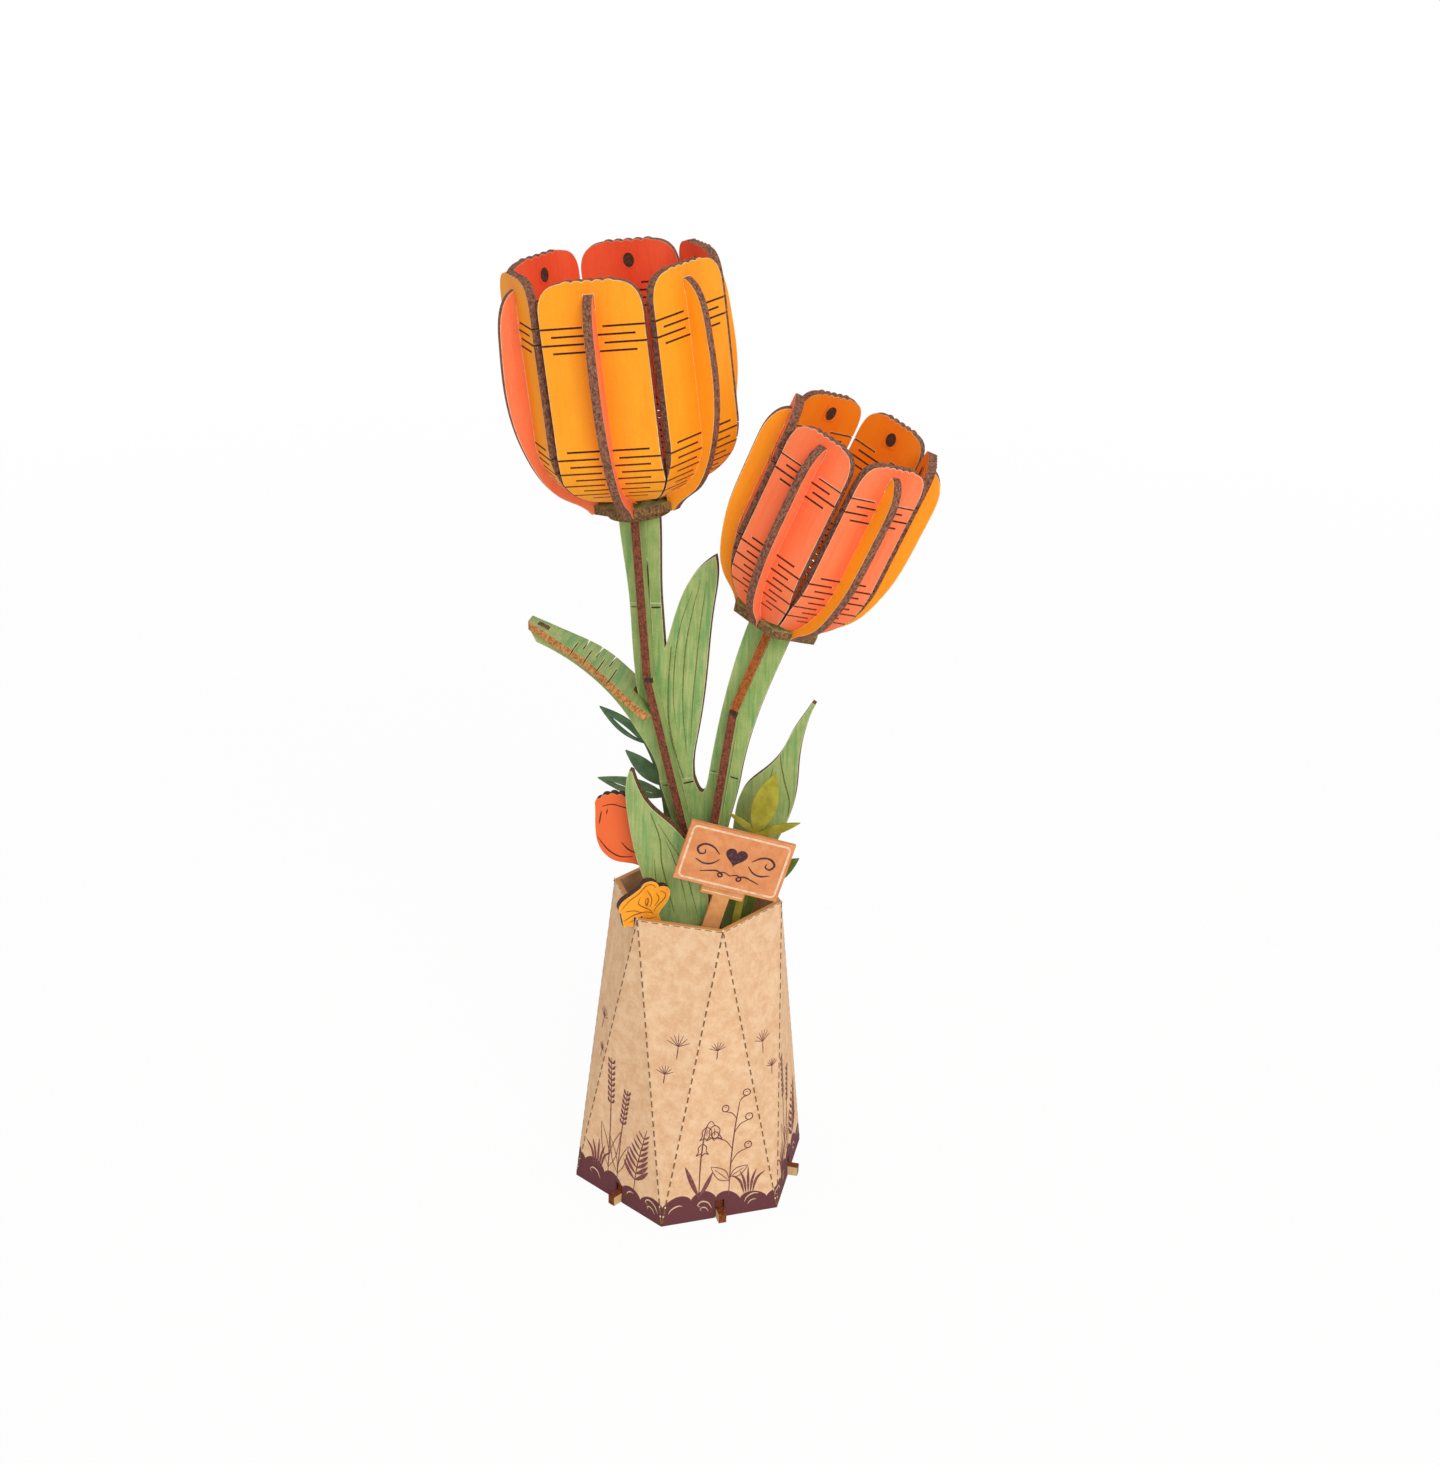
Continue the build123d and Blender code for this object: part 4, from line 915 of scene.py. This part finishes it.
def bells(height, lean):  # three hanging bells on a bowed stem, and two blades
    strokes = [([(0, 0), (lean * 0.1, height * 0.5), (lean * 0.5, height * 0.9), (lean, height),
                 (lean * 1.35, height * 0.94)], 0.34, 0.5)]
    for x, z, size in ((lean * 1.35, height * 0.94, 2.1), (lean * 0.62, height * 0.93, 1.8),
                       (lean * 0.24, height * 0.72, 1.6)):
        left = [(x - size * u, z - size * v) for u, v in bellSide]
        right = [(x + size * u, z - size * v) for u, v in reversed(bellSide)]
        strokes.append(([(x, z), *left, (x, z - size * 1.85), *right, (x, z)], 0.24, 1.0))
        strokes.append(([(x, z - size * 0.3), (x, z - size * 1.3)], 0.2, 0.3))
    for side, top in ((-1, 0.46), (1, 0.34)):
        strokes.append(([(0, height * 0.03), (side * 1.7, height * top * 0.5),
                         (side * 3.4, height * top)], 1.1, 0.05))
    return strokes


def grass(height, blades):
    return [([(0.5 * k, 0), (0.5 * k + k * 0.5, height * 0.5),
              (0.5 * k + k * 1.5, height * (1 - 0.12 * abs(k)))], 0.62, 0.05)
            for k in range(-blades, blades + 1)]


def seedHead(size):  # a loose seed with its parasol
    strokes = [([(0, -size), (0.2, 0)], 0.26, 0.5)]
    for k in range(-3, 4):
        a = math.radians(k * 22)
        strokes.append(([(0.2, 0), (0.2 + size * math.sin(a), size * math.cos(a))], 0.17, 0.5))
    return strokes


# per pair of sides: degrees from a facet broad at the foot or at the rim, height, motif
evenSprigs = {"foot": [(-9, 5.4, lavender(30, -1.5, 8)), (-2, 5.4, lavender(24, 1.6, 7)),
                       (11, 5.2, fern(17, 3.0, 8)), (-17, 5.2, grass(8, 2))],
              "rim": [(3, 44, seedHead(3.0)), (-4, 37, seedHead(2.2))]}
oddSprigs = {"foot": [(5, 5.4, berries(24, 2.6)), (-12, 5.4, bells(20, 2.6)),
                      (16, 5.2, grass(7, 2)), (-3, 43, seedHead(2.2))],
             "rim": [(-1, 42, seedHead(2.8)), (5, 35, seedHead(1.9))]}
prints = {"sprig": "#7A4848", "bareCurl": "#E9C69C", "curlWidth": 0.36, "smallCurlWidth": 0.28,
          "curlEnds": 0.15, "curlHeight": 3.0, "smallCurlHeight": 2.2, "smallShare": 0.6,
          "tabMargin": 8}
curlShapes = {"hook": [(-1.9, 0), (-1.2, 1.1), (0.1, 1.7), (1.2, 1.5)],
              "roll": [(1.8, -0.2), (0.9, 1.2), (-0.5, 1.6), (-1.3, 0.9), (-0.7, 0.4)]}


def printSprigs():
    strokes = []
    for i in sixths:
        sprigs = oddSprigs if i % 2 else evenSprigs
        for middle, group in ((60 * i - 30, sprigs["foot"]), (60 * i, sprigs["rim"])):
            for aside, height, motif in group:
                place = onSleeve(middle + aside)
                strokes += [(place, [(x, z + height) for x, z in points], width, ends)
                            for points, width, ends in motif]
    addDrawing("vase_printed_sprigs", "vase_sleeve",
               burntLine("printed ink sprigs", prints["sprig"]), strokes)


def printCurls():
    strokes = []
    for k in range(vase["humps"]):
        azimuth = 360 / vase["humps"] * (k + 0.5)
        if abs((azimuth + 60) % 60 - 30) < prints["tabMargin"]:  # the boards' tabs come out here
            continue
        size = 1.0 + 0.25 * math.sin(k * 2.3)
        curl = curlShapes["roll" if k % 3 == 1 else "hook"]
        place = onSleeve(azimuth)
        strokes.append((place, [(x * size, prints["curlHeight"] + z * size) for x, z in curl],
                        prints["curlWidth"], prints["curlEnds"]))
        if k % 2:
            small = size * prints["smallShare"]
            strokes.append((place, [(x * small, prints["smallCurlHeight"] + z * small)
                                    for x, z in curl], prints["smallCurlWidth"],
                            prints["curlEnds"]))
    addDrawing("vase_band_curls", "vase_sleeve",
               borderMaterial("bare card in the print", prints["bareCurl"]), strokes)


printSprigs()
printCurls()
print("vase printed")


# studio

studio = {"floor": "#F7F5F2", "floorSize": 12, "floorWhite": 0.95, "darkWithin": (22.0, 23.5),
          "whiterFrom": 0.15, "whiteFrom": 0.8, "world": 0.64, "aimHeight": 0.12}
lamps = {"key": {"power": 5.9, "at": (0.55, -0.86, 0.8), "size": 0.6},
         "fill": {"power": 0.25, "at": (0.7, -0.5, 0.5), "size": 0.8}}


def makeFloor():  # white to the camera, but dark within the vase
    material, tree, shader = newMaterial("pale floor", 0.9, 0.1)
    shader.inputs["Base Color"].default_value = linear(studio["floor"])
    white = addNode(tree, "Emission", {"Strength": 1.0})
    away = addNode(tree, "VectorMath", {0: coordinate(tree)}, out="Value", operation="LENGTH")
    outside = ramped(tree, away, *(r * mm for r in studio["darkWithin"]))
    whiter = ramped(tree, away, studio["whiterFrom"], studio["whiteFrom"], studio["floorWhite"])
    seen = addNode(tree, "LightPath", out="Is Camera Ray")
    share = calc(tree, "MULTIPLY", seen, calc(tree, "MULTIPLY", outside, whiter))
    blend = addNode(tree, "MixShader", {0: share, 1: shader.outputs[0], 2: white})
    tree.links.new(blend, tree.nodes["Material Output"].inputs["Surface"])
    mesh = bpy.data.meshes.new("floor")
    built = bmesh.new()
    bmesh.ops.create_grid(built, x_segments=8, y_segments=8, size=studio["floorSize"])
    built.to_mesh(mesh)
    built.free()
    mesh.materials.append(material)
    floor = bpy.data.objects.new("floor", mesh)
    bpy.context.scene.collection.objects.link(floor)


def makeWorld():  # white where it is seen or mirrored, softer as a light
    world = bpy.data.worlds.new("studio")
    bpy.context.scene.world = world
    world.use_nodes = True
    tree = world.node_tree
    rays = ("Is Camera Ray", "Is Glossy Ray", "Is Transmission Ray")
    camera, glossy, through = (addNode(tree, "LightPath", out=ray) for ray in rays)
    seen = calc(tree, "MAXIMUM", calc(tree, "MAXIMUM", camera, glossy), through)
    level = addNode(tree, "MapRange", {0: seen, 3: studio["world"], 4: 1.0})
    backdrop = tree.nodes["Background"]
    tree.links.new(level, backdrop.inputs["Strength"])
    backdrop.inputs["Color"].default_value = (1, 1, 1, 1)


def makeLamp(name, look):
    data = bpy.data.lights.new(name, "AREA")
    data.energy, data.size = look["power"], look["size"]
    lamp = bpy.data.objects.new(name, data)
    lamp.location = look["at"]
    aim = Vector((0, 0, studio["aimHeight"])) - lamp.location
    lamp.rotation_euler = aim.to_track_quat("-Z", "Y").to_euler()
    bpy.context.scene.collection.objects.link(lamp)


makeFloor()
makeWorld()
for name, look in lamps.items():
    makeLamp(name, look)
bpy.context.scene.view_settings.view_transform = "Standard"
print("studio ready")
